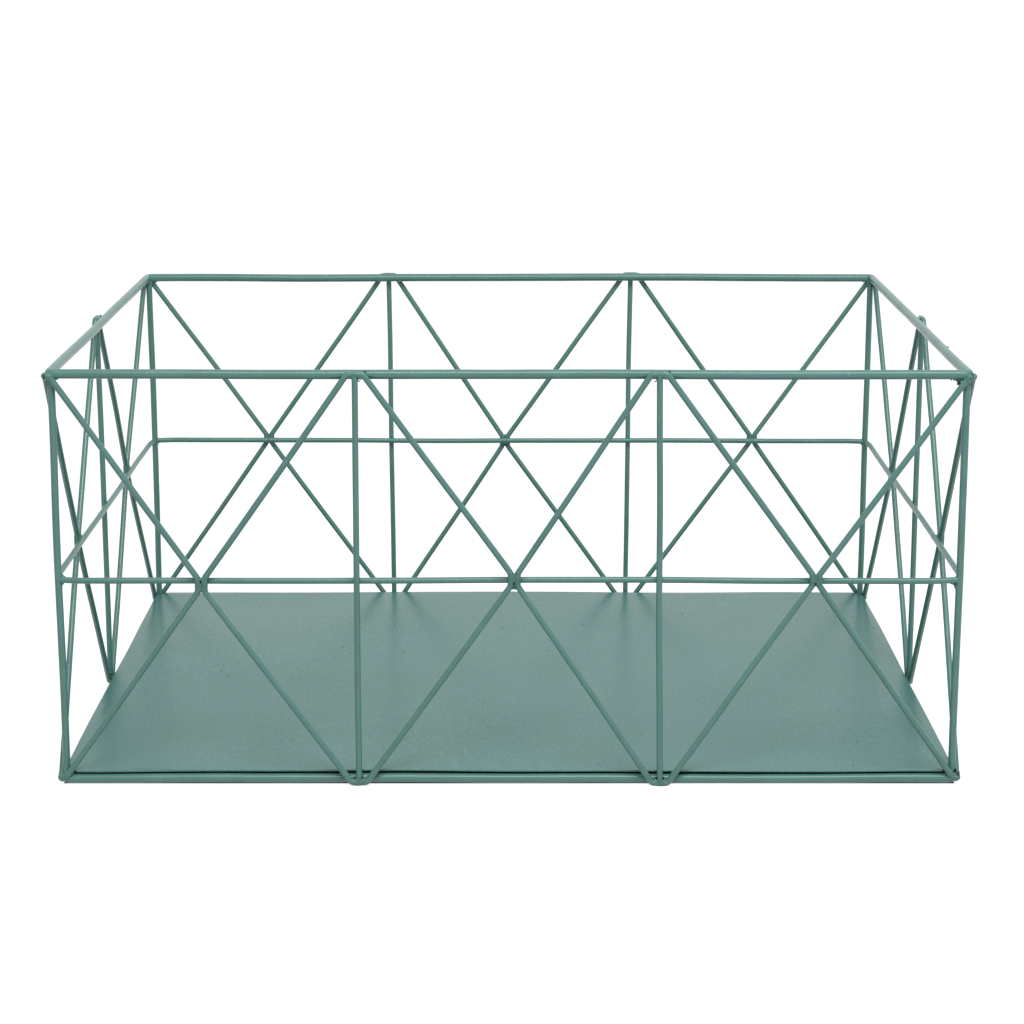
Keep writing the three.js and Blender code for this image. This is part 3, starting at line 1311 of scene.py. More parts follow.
@dataclass
class WeldMetal:
    """Lays weld metal, which comes out a little more or less each time. Its sizes are in millimetres."""

    chance: random.Random = field(default_factory=lambda: random.Random(11))
    radius_spread: Range = (0.9, 1.1)
    ball_angles: tuple[int, ...] = (-75, -40, 0, 40, 75)

    def spread(self, bounds: Range) -> float:
        """Draws a number between two bounds."""
        return self.chance.uniform(*bounds)

    def side(self) -> int:
        """Picks one of two sides."""
        return self.chance.choice((-1, 1))

    def run(self, radius: float, *line: Vector) -> WeldFill:
        """Lays a run of weld metal, whose radius comes out a little more or less."""
        return WeldFill(list(line), [radius * self.spread(self.radius_spread) * MM] * len(line))

    def bead(self, bead: Bead, near: WeldFrame, side: int = 1, rise: float = 0.0) -> WeldFill:
        """Lays a bead at a weld, mirrored along the wall where the side is -1, and raised."""
        ends = [near.at(along * side, up + rise, out) for along, up, out in (bead.start, bead.end)]
        return self.run(bead.radius, *ends)

    def drop(self, radius: float, place: Vector) -> WeldFill:
        """Lays a round drop of weld metal, whose radius comes out a little more or less."""
        return self.ball(radius * self.spread(self.radius_spread), place)

    def ball(self, radius: float, place: Vector) -> WeldFill:
        """Lays a round drop of weld metal of just this radius.

        Args:
            radius: its radius.
            place: its middle.

        Returns:
            The drop, as a short upright run that narrows to both ends.
        """
        turns = [math.radians(angle) for angle in self.ball_angles]
        line = [place + Vector((0, 0, radius * math.sin(turn) * MM)) for turn in turns]
        return WeldFill(line, [radius * math.cos(turn) * MM for turn in turns])


@dataclass
class CrossingWelds:
    """The welds where two loops touch at mid height, in front of the rail.

    Each has a seam along the touch, a neck back to the rail and a drop. Some have a bar with its own neck.
    """

    metal: WeldMetal
    loops: WallLoops
    swell: float = 0.30 * MM
    reach: Range = (4.4, 5.4)
    seam: float = 0.8
    overrun: float = 0.8
    seam_out: float = 0.1
    neck: float = 1.0
    neck_out: float = -1.6
    drop: float = 0.55
    drop_off: Range = (-0.5, 0.5)
    drop_out: float = 0.6
    bar: Bead = Bead(0.5, (-1.8, 0.0, -0.2), (1.8, -0.3, -0.2))
    bar_neck: float = 0.6
    bar_neck_out: float = -0.9
    hole_off: Range = (-0.2, 0.2)
    hole_rises: Range = (-0.2, 0.5)
    bore: Range = (0.5, 1.5)

    def spots(self) -> list[WeldSpot]:
        """Finds where the loops of each wall touch.

        Returns:
            The weld spots.
        """
        spots = []
        for wall, nodes in self.loops.names.items():
            first_loop, last_loop = (f"{corner.label}_corner_loop"
                                     for corner in (CORNER_BEFORE[wall], CORNER_AFTER[wall]))
            row = (first_loop, *nodes, last_loop)
            plane = NodeBox.of(nodes[0]).centre
            for first, second, crossing in zip(row, row[1:], CROSSINGS[wall]):
                end = NodeBox.of(first).reach(wall.ahead)[1]
                start = NodeBox.of(second).reach(wall.ahead)[0]
                middle = wall.ahead * ((end + start) / 2 + crossing.along)
                centre = middle + wall.out * plane.dot(wall.out) + Vector((0, 0, plane.z + crossing.rise))
                spots.append(self.spot(WeldFrame(centre, wall.ahead, wall.out), crossing))
        return spots

    def spot(self, near: WeldFrame, crossing: Crossing) -> WeldSpot:
        """Lays the metal of one crossing.

        Args:
            near: where the loops touch.
            crossing: how they touch.

        Returns:
            The weld spot.
        """
        metal = self.metal
        half = crossing.touch / 2 / MM
        ends = [near.at(0, sign * (half + self.overrun), self.seam_out) for sign in (-1, 1)]
        fills = [
            metal.run(self.seam, *ends),
            metal.run(self.neck, near.centre, near.at(0, -crossing.rise / MM, self.neck_out)),
        ]
        drop = near.at(metal.spread(self.drop_off), -half * crossing.hole_side, self.drop_out)
        fills.append(metal.drop(self.drop, drop))
        if crossing.bar:
            height = crossing.bar / MM
            fills.append(metal.bead(self.bar, near, rise=height))
            fills.append(metal.run(self.bar_neck, near.centre, near.at(0, height, self.bar_neck_out)))
        off = metal.spread(self.hole_off)
        holes = [place for rise in self.hole_rises
                 for place in near.bore(off, (half + rise) * crossing.hole_side, self.bore)]
        return WeldSpot(near.centre, metal.spread(self.reach) * MM, self.swell, fills, holes)


@dataclass
class LevelEndWelds:
    """What the welds at the level ends of the wall loops have in common."""

    metal: WeldMetal
    loops: WallLoops
    wires: dict[str, WirePath]
    bore: Range = (-0.5, 1.5)

    def ends(self, high: bool) -> list[WeldFrame]:
        """Finds the middles of the wall loops' level ends.

        Args:
            high: whether the high ends are meant, or the low ones.

        Returns:
            A frame for each.
        """
        frames = []
        for wall, nodes in self.loops.names.items():
            for node, (low_shift, high_shift) in zip(nodes, END_SHIFT[wall]):
                box = NodeBox.of(node)
                radius = self.wires[node].radius
                level = (box.high.z - radius) if high else (box.low.z + radius)
                shift = wall.ahead * (high_shift if high else low_shift)
                middle = Vector((box.centre.x, box.centre.y, level)) + shift
                frames.append(WeldFrame(middle, wall.ahead, wall.out))
        return frames


@dataclass
class RimWelds(LevelEndWelds):
    """The welds at the high ends: a seam behind, blobs beside the upright, a drip and painted shade by a
    shoulder.
    """

    swell: float = 0.20 * MM
    reach: Range = (2.8, 3.4)
    seam: Bead = Bead(0.8, (-2.6, -0.2, -1.6), (2.6, -0.2, -1.6))
    small_blob: Bead = Bead(0.8, (-2.0, -0.7, 0.3), (-1.9, -1.9, 0.2))
    large_blob: Bead = Bead(0.95, (1.9, -0.8, 0.4), (3.1, -1.9, 0.3))
    drip_neck: Bead = Bead(0.4, (1.2, -2.6, -0.3), (2.0, -3.2, -0.5))
    drip: float = 0.45
    holes: tuple[Spot, ...] = ((-3.1, -1.2), (-1.2, -1.7), (1.2, -1.7))
    shoulder: tuple[Spot, ...] = ((4.1, 0.9), (4.5, 0.2), (4.8, -0.5))
    shoulder_drop: float = 0.6
    shoulder_out: float = -1.4
    shoulder_bore: Range = (-1.5, -0.5)

    def spots(self) -> list[WeldSpot]:
        """Lays the metal of each high end, on the front wall with the large blobs to the right.

        Returns:
            The weld spots.
        """
        metal = self.metal
        drip_along, drip_rise, drip_out = self.drip_neck.end
        spots = []
        for number, near in enumerate(self.ends(high=True)):
            side = 1 if number < len(self.loops.names[Wall.FRONT]) else metal.side()
            drip_side = side if number % 2 == 0 else -side
            fills = [
                metal.bead(self.seam, near),
                metal.bead(self.small_blob, near, side),
                metal.bead(self.large_blob, near, side),
                metal.drop(self.drip, near.at(drip_along * drip_side, drip_rise, drip_out)),
                metal.bead(self.drip_neck, near, drip_side),
            ]
            holes = []
            # Near-black hole marks beside the upright are painted shade in the notches
            for along, rise in self.holes:
                holes.extend(near.bore(along * side, rise, self.bore))
            # Drops along the shoulder, and near-black hole marks there as painted shade of its crevice
            for along, rise in self.shoulder:
                fills.append(metal.ball(self.shoulder_drop, near.at(along * side, rise, self.shoulder_out)))
                holes.extend(near.bore(along * side, rise, self.shoulder_bore))
            spots.append(WeldSpot(near.centre, metal.spread(self.reach) * MM, self.swell, fills, holes))
        return spots


@dataclass
class BaseWelds(LevelEndWelds):
    """The welds at the low ends: a seam behind, lumps and feet beside the upright, and small drops."""

    swell: float = 0.30 * MM
    reach: Range = (3.4, 4.2)
    seam: Bead = Bead(0.9, (-2.8, 0.6, -1.4), (2.8, 0.6, -1.4))
    seam_hole: Range = (3.6, 4.2)
    seam_hole_rise: float = 0.4
    lump: float = 0.95
    lump_start: Place = (1.4, 0.6, -0.3)
    lump_top: Range = (1.9, 2.4)
    lump_top_along: float = 2.1
    lump_top_out: float = -0.5
    foot: float = 1.0
    foot_along: Range = (2.9, 3.5)
    foot_rise: Range = (-0.3, 0.1)
    foot_out: float = 0.4
    lump_hole: Range = (1.3, 2.2)
    lump_hole_rise: Range = (1.8, 2.4)
    drop_count: int = 7
    drop: float = 0.6
    drop_area: tuple[Range, Range, Range] = ((-3.2, 3.2), (-0.6, 1.2), (0.7, 1.0))

    def spots(self) -> list[WeldSpot]:
        """Lays the metal of each low end.

        Returns:
            The weld spots.
        """
        metal = self.metal
        start_along, start_rise, start_out = self.lump_start
        spots = []
        for near in self.ends(high=False):
            fills = [metal.bead(self.seam, near)]
            holes = near.bore(metal.spread(self.seam_hole) * metal.side(), self.seam_hole_rise, self.bore)
            for side in (-1, 1):
                top = near.at(self.lump_top_along * side, metal.spread(self.lump_top), self.lump_top_out)
                fills.append(metal.run(self.lump, near.at(start_along * side, start_rise, start_out), top))
                foot_along = metal.spread(self.foot_along) * side
                foot = near.at(foot_along, metal.spread(self.foot_rise), self.foot_out)
                fills.append(metal.drop(self.foot, foot))
                hole_along = metal.spread(self.lump_hole) * side
                holes.extend(near.bore(hole_along, metal.spread(self.lump_hole_rise), self.bore))
            for _ in range(self.drop_count):
                place = near.at(*(metal.spread(bounds) for bounds in self.drop_area))
                fills.append(metal.drop(self.drop, place))
            spots.append(WeldSpot(near.centre, metal.spread(self.reach) * MM, self.swell, fills, holes))
        return spots


@dataclass
class CornerWelds:
    """The welds where a post and a corner loop meet a hoop's corner.

    Gas holes lie anywhere on the back corners. Painted crevice shade, as near-black marks, and webs have
    given places on the front ones, along the front wall and up, a web's drops with their radius.
    """

    metal: WeldMetal
    swell: float = 0.36 * MM
    reach: Range = (4.6, 5.6)
    centre_out: float = 1.2
    lobes: dict[str, CornerLobe] = field(default_factory=lambda: {
        "top_rim": CornerLobe(radius=1.1, reach=(1.0, 1.6), drop=0.7, drop_reach=1.8),
        "bottom_hoop": CornerLobe(radius=1.7, reach=(1.5, 2.3), drop=0.8, drop_reach=2.2),
    })
    collar: float = 0.85
    collar_rise: Range = (2.0, 3.4)
    collar_out: float = 0.8
    drop_count: int = 3
    drop_area: tuple[Range, Range] = ((-2.6, 2.6), (-0.4, 2.8))
    back_holes: int = 2
    hole_area: tuple[Range, Range] = ((-3.0, 3.0), (-0.6, 3.0))
    bore: Range = (2.5, 5.0)
    drip: float = 0.65
    drip_off: Range = (2.0, 4.0)
    drip_rise: float = 1.2
    drip_share: float = 0.5
    burns: dict[tuple[str, Corner], tuple[Spot, ...]] = field(default_factory=lambda: {
        ("top_rim", Corner.FRONT_LEFT): (
            (-2.1, -0.2), (-2.2, -0.8), (-2.2, -1.4), (-2.2, -2.0), (-0.4, -3.0), (0.3, -3.8), (0.9, -4.7)),
        ("top_rim", Corner.FRONT_RIGHT): (
            (1.8, 0.1), (1.1, 0.8), (-3.0, -2.9), (-3.7, -2.9), (-4.4, -2.7), (-3.7, -3.7), (-4.1, -4.3),
            (-5.4, -2.5), (-7.0, -2.5)),
        ("bottom_hoop", Corner.FRONT_RIGHT): ((0.8, 3.6), (1.6, 3.2), (1.5, 4.1), (2.5, 2.2)),
    })
    burn_bore: Range = (0.0, 5.0)
    webs: dict[tuple[str, Corner], tuple[Place, ...]] = field(default_factory=lambda: {
        ("top_rim", Corner.FRONT_LEFT): (
            (-1.3, -3.4, 0.7), (-1.2, -4.6, 0.6), (0.1, -3.5, 0.8), (0.8, -4.6, 0.7)),
        ("top_rim", Corner.FRONT_RIGHT): (
            (-3.2, -2.4, 0.85), (-4.4, -2.3, 0.8), (-5.7, -2.1, 0.65), (-7.0, -2.2, 0.55), (-3.6, -3.4, 0.8),
            (-4.1, -4.2, 0.6)),
        ("bottom_hoop", Corner.FRONT_RIGHT): ((0.9, 3.4, 0.9), (1.8, 3.2, 0.9), (1.4, 4.3, 0.8)),
    })
    web_out: float = 0.9

    def spots(self, hoop: str) -> list[WeldSpot]:
        """Lays the metal of a hoop's four corners.

        Args:
            hoop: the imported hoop.

        Returns:
            The weld spots.
        """
        return [self.spot(hoop, corner) for corner in Corner]

    def spot(self, hoop: str, corner: Corner) -> WeldSpot:
        """Lays the metal of one corner.

        Args:
            hoop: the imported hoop.
            corner: the corner.

        Returns:
            The weld spot.
        """
        metal = self.metal
        lobe = self.lobes[hoop]
        inward = 1 if hoop == "bottom_hoop" else -1
        hole_count = self.back_holes if corner.signs.y > 0 else 0
        post = NodeBox.of(f"{corner.label}_post").centre
        centre = Vector((post.x, post.y, NodeBox.of(hoop).centre.z))
        diagonal = corner.signs.normalized()
        near = WeldFrame(centre, Vector((-diagonal.y, diagonal.x, 0)), diagonal)
        tip = near.at(0, 0, metal.spread(lobe.reach))
        rise = inward * metal.spread(self.collar_rise)
        collar = near.at(0, rise, self.collar_out)
        fills = [metal.run(lobe.radius, centre, tip), metal.run(self.collar, tip, collar)]
        for _ in range(self.drop_count + hole_count):
            along, up = (metal.spread(bounds) for bounds in self.drop_area)
            fills.append(metal.drop(lobe.drop, near.at(along, inward * up, lobe.drop_reach)))
        holes: list[Vector] = []
        for _ in range(hole_count):
            along, up = (metal.spread(bounds) for bounds in self.hole_area)
            holes.extend(near.bore(along, inward * up, self.bore))
        for wall_side in (Vector((-corner.signs.x, 0, 0)), Vector((0, -corner.signs.y, 0))):
            beside = wall_side * (metal.spread(self.drip_off) * MM)
            drip = centre + beside + Vector((0, 0, inward * self.drip_rise * MM))
            fills.append(metal.run(self.drip, drip, drip + Vector((0, 0, rise * self.drip_share * MM))))
        along_front = WeldFrame(centre, Wall.FRONT.ahead, Wall.FRONT.out)
        # Painted shade: near-black hole marks along the crevices between post, loop and hoop at the front
        # corners
        for along, up in self.burns.get((hoop, corner), ()):
            holes.extend(along_front.bore(along, up, self.burn_bore))
        for along, up, radius in self.webs.get((hoop, corner), ()):
            fills.append(metal.ball(radius, along_front.at(along, up, self.web_out)))
        reach = metal.spread(self.reach) * MM
        return WeldSpot(near.at(0, 0, self.centre_out), reach, self.swell, fills, holes)


@dataclass
class RailWelds:
    """The welds where the rails butt against the posts, as webs above and below the rail."""

    metal: WeldMetal
    wires: dict[str, WirePath]
    reach: Range = (4.0, 5.0)
    centre_along: float = 1.8
    web: float = 0.68
    heights: dict[tuple[Wall, int], Range] = field(default_factory=lambda: {
        (Wall.FRONT, 0): (2.4 * MM, 2.4 * MM),
        (Wall.FRONT, 1): (0.9 * MM, 4.4 * MM),
    })
    plain_heights: Range = (1.1 * MM, 1.5 * MM)
    run: Range = (1.0, 2.0)
    inside: float = 0.3
    root: float = 0.4
    bend_along: float = 1.2
    bend_rise: float = 0.4

    def spots(self) -> list[WeldSpot]:
        """Lays the metal of both ends of each rail.

        Returns:
            The weld spots.
        """
        spots = []
        for wall in Wall:
            rail = self.wires[f"{wall.label}_rail"]
            rail_line = (rail.points[-1] - rail.points[0]).normalized()
            inside = -wall.out * self.inside * MM
            ends = ((rail.points[0], rail_line), (rail.points[-1], -rail_line))
            for number, (end, along) in enumerate(ends):
                fills = []
                for up, height in zip((1, -1), self.heights.get((wall, number), self.plain_heights)):
                    rise = Vector((0, 0, up * (rail.radius * self.root + height)))
                    base = end + inside + along * (height + self.metal.spread(self.run) * MM)
                    bend = end + inside + along * self.bend_along * MM + rise * self.bend_rise
                    fills.append(self.metal.run(self.web, base, bend, end + inside + rise))
                centre = end + along * self.centre_along * MM
                spots.append(WeldSpot(centre, self.metal.spread(self.reach) * MM, 0.0, fills))
        return spots


@dataclass
class Spatter:
    """Drops that flew off the welds: a few anywhere on the closed wires, and one on the rim's right side."""

    metal: WeldMetal
    wires: dict[str, WirePath]
    count: int = 12
    step: float = 0.6 * MM
    radius: float = 0.6
    lift: float = 0.1 * MM
    least_off: Place = (-1, -1, -0.3)
    rim_radius: float = 0.85
    rim_share: float = 0.22
    rim_inset: float = 0.4 * MM
    rim_rise: float = 1.1 * MM

    def spots(self) -> list[WeldSpot]:
        """Places the drops.

        Returns:
            The drops, each as a weld spot that covers no wire.
        """
        metal = self.metal
        closed = [wire for wire in self.wires.values() if wire.closed]
        spots = []
        for _ in range(self.count):
            wire = metal.chance.choice(closed)
            place = metal.chance.choice(wire.walk(self.step))
            off = Vector([metal.spread((least, 1)) for least in self.least_off]).normalized()
            drop = place + off * (wire.radius + self.lift)
            spots.append(WeldSpot(drop, 0.0, 0.0, [metal.drop(self.radius, drop)]))
        rim = NodeBox.of("top_rim")
        beside = Vector((rim.high.x - self.rim_inset, rim.low.y + self.rim_share * rim.size.y,
                         rim.centre.z + self.rim_rise))
        spots.append(WeldSpot(beside, 0.0, 0.0, [metal.ball(self.rim_radius, beside)]))
        return spots


@dataclass
class WeldMelter:
    """Melts weld metal and the wires under it into one skin. Lips and edges are in radii of a gas hole."""

    hand_bend: HandBend
    material: bpy.types.Material
    wires: dict[str, WirePath]
    grain: float = 0.25 * MM
    band_grains: float = 2.0
    skin_level: float = 0.1
    tube_sides: int = 12
    lump_waves: float = 420.0
    lump_detail: float = 2.0
    hole_depth: float = 0.03 * MM
    hole_lip: float = 0.16 * MM
    hole_edge: Range = (0.6, 1.0)
    lip_middle: float = 1.2
    lip_width: float = 0.4
    far_off: float = 9.0
    hoop_swell: float = 0.04 * MM
    taper: float = 0.50 * MM
    taper_power: int = 3
    step: float = 0.6 * MM

    def __post_init__(self) -> None:
        """Builds the node tree that all groups of welds share."""
        self.tree = self.melt_tree(self.sizes(SMOOTH_WELD, seed=0))

    def sizes(self, skin: WeldSkin, seed: int) -> dict[str, float | int]:
        """Gathers the sizes that the node tree takes, by name."""
        return {"Grain": self.grain, "Melt Passes": skin.melt_passes, "Lump Height": skin.lump_height,
                "Lump Waves": self.lump_waves, "Seed": float(seed), "Hole Radius": skin.hole_radius,
                "Hole Depth": self.hole_depth, "Hole Lip": self.hole_lip}

    def melt_tree(self, sizes: dict[str, float | int]) -> bpy.types.NodeTree:
        """Builds the node tree that melts lines into one skin, with lumps, and gas holes for painted shade.

        Args:
            sizes: the tree's sizes by name.

        Returns:
            The node tree.
        """
        wiring = Wiring.shaping("melted_welds", sizes)
        curve = wiring.put("GeometryNodeMeshToCurve", {"Mesh": wiring.given("Geometry")}).outputs[0]
        swayed = self.hand_bend.apply(wiring, curve)
        radius = wiring.put("GeometryNodeInputNamedAttribute", {"Name": RADIUS_ATTRIBUTE}, data_type="FLOAT")
        tubes = wiring.tube(swayed, self.tube_sides, radius.outputs[0])
        band = wiring.maths("MULTIPLY", wiring.given("Grain"), self.band_grains)
        molten = wiring.put("GeometryNodeMeshToVolume", {
            "Mesh": tubes, "Density": 1.0, "Voxel Size": wiring.given("Grain"), "Interior Band Width": band,
        }, resolution_mode="VOXEL_SIZE")
        skin = wiring.put("GeometryNodeVolumeToMesh", {
            "Volume": molten.outputs[0], "Threshold": self.skin_level}, resolution_mode="GRID")
        place = wiring.put("GeometryNodeInputPosition").outputs[0]
        blur = wiring.put("GeometryNodeBlurAttribute", {
            "Value": place, "Iterations": wiring.given("Melt Passes")}, data_type="FLOAT_VECTOR")
        melted = wiring.put("GeometryNodeSetPosition", {
            "Geometry": skin.outputs[0], "Position": blur.outputs[0]})
        spread = self.hole_spread(wiring)
        # The hole mask dents the skin a little and is stored for the weld paint, which paints near-black
        # shade there
        mask = wiring.ranged(spread, self.hole_edge, (1.0, 0.0))
        off_lip = wiring.maths("ABSOLUTE", wiring.maths("SUBTRACT", spread, self.lip_middle))
        lip = wiring.ranged(off_lip, (0.0, self.lip_width), (1.0, 0.0))
        holed = wiring.put("GeometryNodeStoreNamedAttribute", {
            "Geometry": melted.outputs[0], "Name": HOLE_SHADE_ATTRIBUTE, "Value": mask,
        }, data_type="FLOAT", domain="POINT")
        lumps = wiring.put("ShaderNodeTexNoise", {
            "Vector": place, "W": wiring.given("Seed"), "Scale": wiring.given("Lump Waves"),
            "Detail": self.lump_detail}, noise_dimensions="4D")
        rise = wiring.about_middle(lumps.outputs["Fac"], wiring.given("Lump Height"))
        raised = wiring.maths("ADD", rise, wiring.maths("MULTIPLY", lip, wiring.given("Hole Lip")))
        relief = wiring.maths("SUBTRACT", raised, wiring.maths("MULTIPLY", mask, wiring.given("Hole Depth")))
        offset = wiring.vectors("SCALE", wiring.put("GeometryNodeInputNormal").outputs[0], relief)
        uneven = wiring.put("GeometryNodeSetPosition", {"Geometry": holed.outputs[0], "Offset": offset})
        return wiring.finish(uneven.outputs[0])

    def hole_spread(self, wiring: Wiring) -> bpy.types.NodeSocket:
        """Adds the marked points of the gas holes to the tree.

        Args:
            wiring: the tree.

        Returns:
            The socket of the distance to the nearest hole's middle, in radii of a hole.
        """
        marked = wiring.put("GeometryNodeInputNamedAttribute", {"Name": HOLE_SHADE_ATTRIBUTE}, data_type="BOOLEAN")
        points = wiring.put("GeometryNodeSeparateGeometry", {
            "Geometry": wiring.given("Geometry"), "Selection": marked.outputs[0]}, domain="POINT")
        swayed = self.hand_bend.apply(wiring, points.outputs["Selection"])
        near = wiring.put("GeometryNodeProximity", {0: swayed}, target_element="POINTS")
        missing = wiring.maths("SUBTRACT", 1.0, near.outputs["Is Valid"])
        spread = wiring.maths("DIVIDE", near.outputs["Distance"], wiring.given("Hole Radius"))
        return wiring.maths("ADD", spread, wiring.maths("MULTIPLY", missing, self.far_off))

    def melt(self, name: str, spots: list[WeldSpot], skin: WeldSkin, seed: int) -> bpy.types.Object:
        """Melts a group of welds and hands it to the frame.

        Args:
            name: the piece's name.
            spots: the welds.
            skin: how they froze.
            seed: picks the lumps.

        Returns:
            The weld piece.
        """
        lines = WeldLines()
        walks = [(wire, wire.walk(self.step)) for wire in self.wires.values()]
        for spot in spots:
            for wire, walk in walks:
                self.add_stub(lines, spot, wire, walk)
            for fill in spot.fills:
                lines.add(fill)
        holes = [hole for spot in spots for hole in spot.holes]
        mesh = bpy.data.meshes.new(name)
        mesh.from_pydata(lines.points + holes, lines.edges, [])
        thickness = mesh.attributes.new(RADIUS_ATTRIBUTE, "FLOAT", "POINT")
        thickness.data.foreach_set("value", lines.radii + [0.0] * len(holes))
        marked = mesh.attributes.new(HOLE_SHADE_ATTRIBUTE, "BOOLEAN", "POINT")
        marked.data.foreach_set("value", [False] * len(lines.points) + [True] * len(holes))
        values = {**self.sizes(skin, seed), "Material": self.material}
        piece = solid_piece(name, mesh, self.tree, values)
        place_piece(piece, Slot.WIRE)
        return piece

    def add_stub(self, lines: WeldLines, spot: WeldSpot, wire: WirePath, walk: list[Vector]) -> None:
        """Adds the part of a wire that a weld covers, swollen in the middle and tapered at its ends.

        Args:
            lines: the lines so far, added to.
            spot: the weld.
            wire: the wire.
            walk: the wire's points at a small spacing.
        """
        swell = self.hoop_swell if wire.radius > HOOP_FROM else spot.swell
        taken: dict[int, int] = {}
        for index, point in enumerate(walk):
            distance = (point - spot.centre).length
            if distance < spot.reach:
                taken[index] = len(lines.points)
                loss = self.taper * (distance / spot.reach) ** self.taper_power
                lines.points.append(point)
                lines.radii.append(wire.radius + swell - loss)
        for index in taken:
            following = (index + 1) % len(walk) if wire.closed else index + 1
            if following in taken:
                lines.edges.append((taken[index], taken[following]))


@dataclass
class Welds:
    """All welds of the basket, in four groups that froze in different ways."""

    melter: WeldMelter
    loops: WallLoops
    metal: WeldMetal = field(default_factory=WeldMetal)
    most_seed: int = 50

    def make(self) -> list[bpy.types.Object]:
        """Lays and melts all welds.

        Returns:
            The weld pieces.
        """
        metal = self.metal
        wires = self.melter.wires
        corners = CornerWelds(metal)
        rim = RimWelds(metal, self.loops, wires).spots() + corners.spots("top_rim")
        rim += Spatter(metal, wires).spots()
        base = BaseWelds(metal, self.loops, wires).spots() + corners.spots("bottom_hoop")
        return [
            self.melt("crossing_welds", CrossingWelds(metal, self.loops).spots(), SMOOTH_WELD),
            self.melt("rim_welds", rim, LUMPY_WELD),
            self.melt("base_welds", base, POROUS_WELD),
            self.melt("rail_end_welds", RailWelds(metal, wires).spots(), SMOOTH_WELD),
        ]

    def melt(self, name: str, spots: list[WeldSpot], skin: WeldSkin) -> bpy.types.Object:
        """Melts one group, with lumps of its own."""
        return self.melter.melt(name, spots, skin, self.metal.chance.randint(1, self.most_seed))


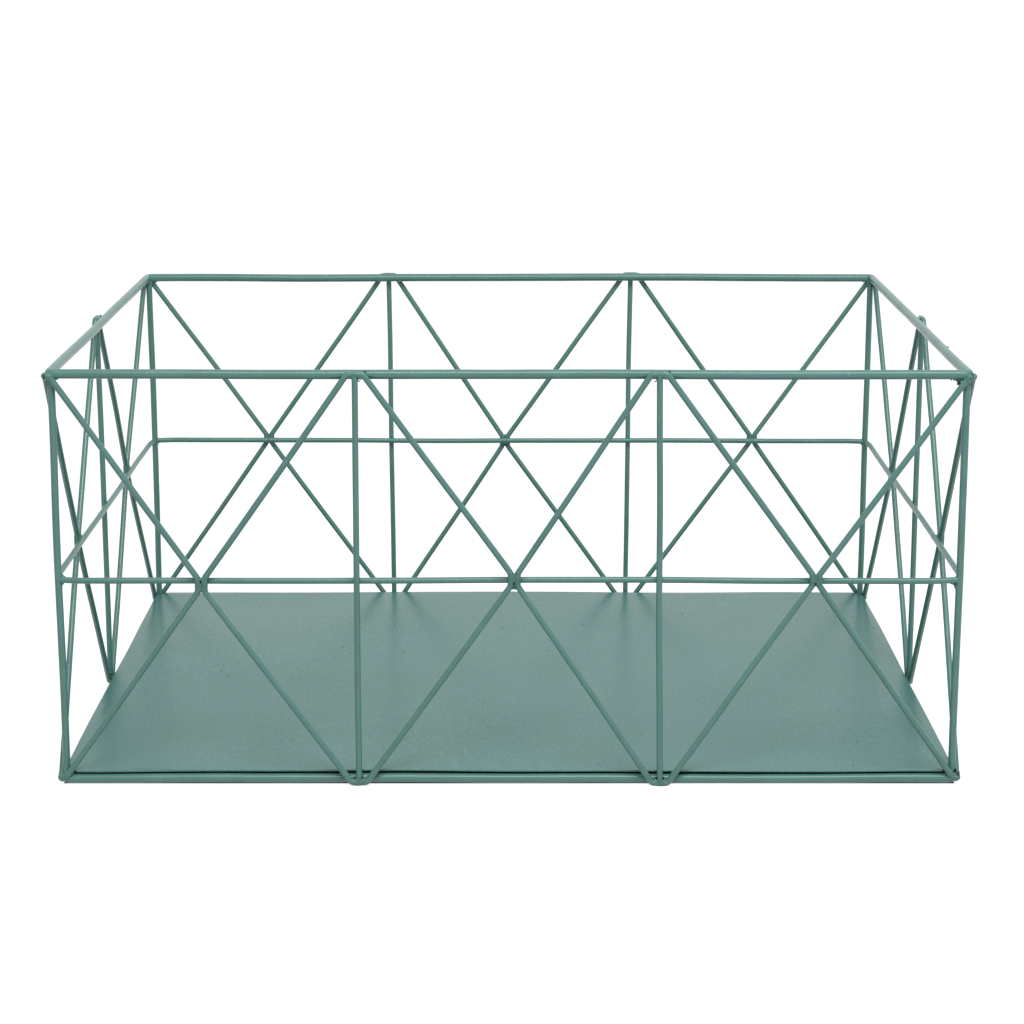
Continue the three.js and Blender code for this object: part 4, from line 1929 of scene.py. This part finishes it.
@dataclass
class Studio:
    """A plain white room: a floor, an even sky and one large soft lamp above the front."""

    floor_half: float = 30.0
    floor_drop: float = 0.4 * MM
    floor_glow: float = 0.86
    floor_white: float = 0.45
    floor_bounce: float = 0.62
    sky_light: float = 0.325
    lamp_place: tuple[float, float, float] = (0.22, -0.75, 1.25)
    lamp_aim: tuple[float, float, float] = (0.0, 0.0, 0.08)
    lamp_size: tuple[float, float] = (1.25, 0.42)
    lamp_power: float = 14.0
    covered: str = "floor_panel"

    def make(self) -> None:
        """Makes the floor, the sky and the lamp."""
        self.make_floor()
        self.make_sky()
        self.make_lamp()

    def seen_directly(self, wiring: Wiring) -> bpy.types.NodeSocket:
        """Finds the rays that see the room itself: the camera's, reflections and what shows through.

        Args:
            wiring: the tree that needs it.

        Returns:
            A mask's socket.
        """
        path = wiring.put("ShaderNodeLightPath")
        either = wiring.maths("MAXIMUM", path.outputs["Is Camera Ray"], path.outputs["Is Glossy Ray"])
        return wiring.maths("MAXIMUM", either, path.outputs["Is Transmission Ray"])

    def make_floor(self) -> None:
        """Makes the floor, which is white but for the part that the sheet covers, where no light reaches."""
        under = NodeBox.of(self.covered)
        square = ((-1, -1), (1, -1), (1, 1), (-1, 1))
        points = []
        for across, along in ((self.floor_half, self.floor_half), (under.size.x / 2, under.size.y / 2)):
            points.extend((x * across, y * along, -self.floor_drop) for x, y in square)
        faces = [(side, (side + 1) % 4, (side + 1) % 4 + 4, side + 4) for side in range(4)]
        mesh = bpy.data.meshes.new("floor")
        mesh.from_pydata(points, [], faces + [(4, 5, 6, 7)])
        mesh.materials.append(self.white_floor())
        mesh.materials.append(self.covered_floor())
        mesh.polygons[len(faces)].material_index = 1
        floor = bpy.data.objects.new("floor", mesh)
        bpy.context.scene.collection.objects.link(floor)

    def empty_material(self, name: str) -> tuple[bpy.types.Material, Wiring]:
        """Starts a material with no nodes.

        Args:
            name: its name.

        Returns:
            The material and the wiring of its tree.
        """
        material = bpy.data.materials.new(name)
        material.use_nodes = True
        material.node_tree.nodes.clear()
        return material, Wiring(material.node_tree)

    def matt(self, wiring: Wiring, white: float) -> bpy.types.NodeSocket:
        """Places a matt surface that is this white."""
        return wiring.put("ShaderNodeBsdfDiffuse", {"Color": (white, white, white, 1.0)}).outputs[0]

    def covered_floor(self) -> bpy.types.Material:
        """Builds the floor under the sheet, which has no glow of its own.

        Returns:
            The material.
        """
        material, wiring = self.empty_material("covered_floor")
        wiring.put("ShaderNodeOutputMaterial", {"Surface": self.matt(wiring, self.floor_white)})
        return material

    def white_floor(self) -> bpy.types.Material:
        """Builds the open floor, white where it is seen and greyer where it only throws light back.

        Returns:
            The material.
        """
        material, wiring = self.empty_material("white_floor")
        glow = wiring.put("ShaderNodeEmission", {"Strength": self.floor_glow})
        white = wiring.put("ShaderNodeAddShader", {
            0: self.matt(wiring, self.floor_white), 1: glow.outputs[0]})
        mixed = wiring.put("ShaderNodeMixShader", {
            0: self.seen_directly(wiring), 1: self.matt(wiring, self.floor_bounce), 2: white.outputs[0]})
        wiring.put("ShaderNodeOutputMaterial", {"Surface": mixed.outputs[0]})
        return material

    def make_sky(self) -> None:
        """Makes the even sky, white where it is seen."""
        world = bpy.data.worlds.new("white_room")
        world.use_nodes = True
        bpy.context.scene.world = world
        wiring = Wiring(world.node_tree)
        extra = wiring.maths("MULTIPLY", self.seen_directly(wiring), 1.0 - self.sky_light)
        background = world.node_tree.nodes["Background"]
        wiring.feed(background.inputs["Color"], (1.0, 1.0, 1.0, 1.0))
        wiring.feed(background.inputs["Strength"], wiring.maths("ADD", extra, self.sky_light))

    def make_lamp(self) -> None:
        """Makes the large soft lamp."""
        light = bpy.data.lights.new("soft_lamp", "AREA")
        light.shape = "RECTANGLE"
        light.size, light.size_y = self.lamp_size
        light.energy = self.lamp_power
        lamp = bpy.data.objects.new("soft_lamp", light)
        lamp.location = self.lamp_place
        aim = Vector(self.lamp_aim) - Vector(self.lamp_place)
        lamp.rotation_euler = aim.to_track_quat("-Z", "Y").to_euler()
        bpy.context.scene.collection.objects.link(lamp)


@dataclass
class ViewCamera:
    """The camera, in front of the basket and a little above it."""

    place: tuple[float, float, float] = (1.25 * MM, -1039.4 * MM, 369.7 * MM)
    pitch_down: float = 11.183
    focal_pixels: float = 2190.9
    picture_width: int = 1024
    sensor_width: float = 36.0
    shift_up: float = -0.15
    near_limit: float = 0.01

    def make(self) -> None:
        """Makes the camera and sets it as the scene's own."""
        data = bpy.data.cameras.new("camera")
        data.sensor_fit = "HORIZONTAL"
        data.sensor_width = self.sensor_width
        data.lens = self.focal_pixels * self.sensor_width / self.picture_width
        data.shift_y = self.shift_up
        data.clip_start = self.near_limit
        camera = bpy.data.objects.new("camera", data)
        camera.location = self.place
        camera.rotation_euler = (math.radians(90 - self.pitch_down), 0, 0)
        bpy.context.scene.collection.objects.link(camera)
        bpy.context.scene.camera = camera


def main() -> None:
    """Builds the basket's pieces in order, then the room and the camera."""
    logging.basicConfig(level=logging.INFO, format="%(name)s: %(message)s")
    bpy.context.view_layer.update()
    bpy.context.scene.view_settings.view_transform = "Standard"
    ViewCamera().make()
    Studio().make()
    groups = PaintGroups()
    hand_bend = HandBend()
    loops = WallLoops()
    paths = Hoops().paths() + Rods().paths() + loops.paths() + CornerLoops().paths()
    bender = WireBender(hand_bend, WIRE_PAINT.material(groups))
    for path in paths:
        bender.make(path)
    sheet = SheetFloor(hand_bend, SHEET_PAINT.material(groups)).make()
    PaintNibs(NIB_PAINT.material(groups)).make(sheet)
    wires = {path.node: path for path in paths}
    Welds(WeldMelter(hand_bend, WELD_PAINT.material(groups), wires), loops).make()


if __name__ == "__main__":
    main()
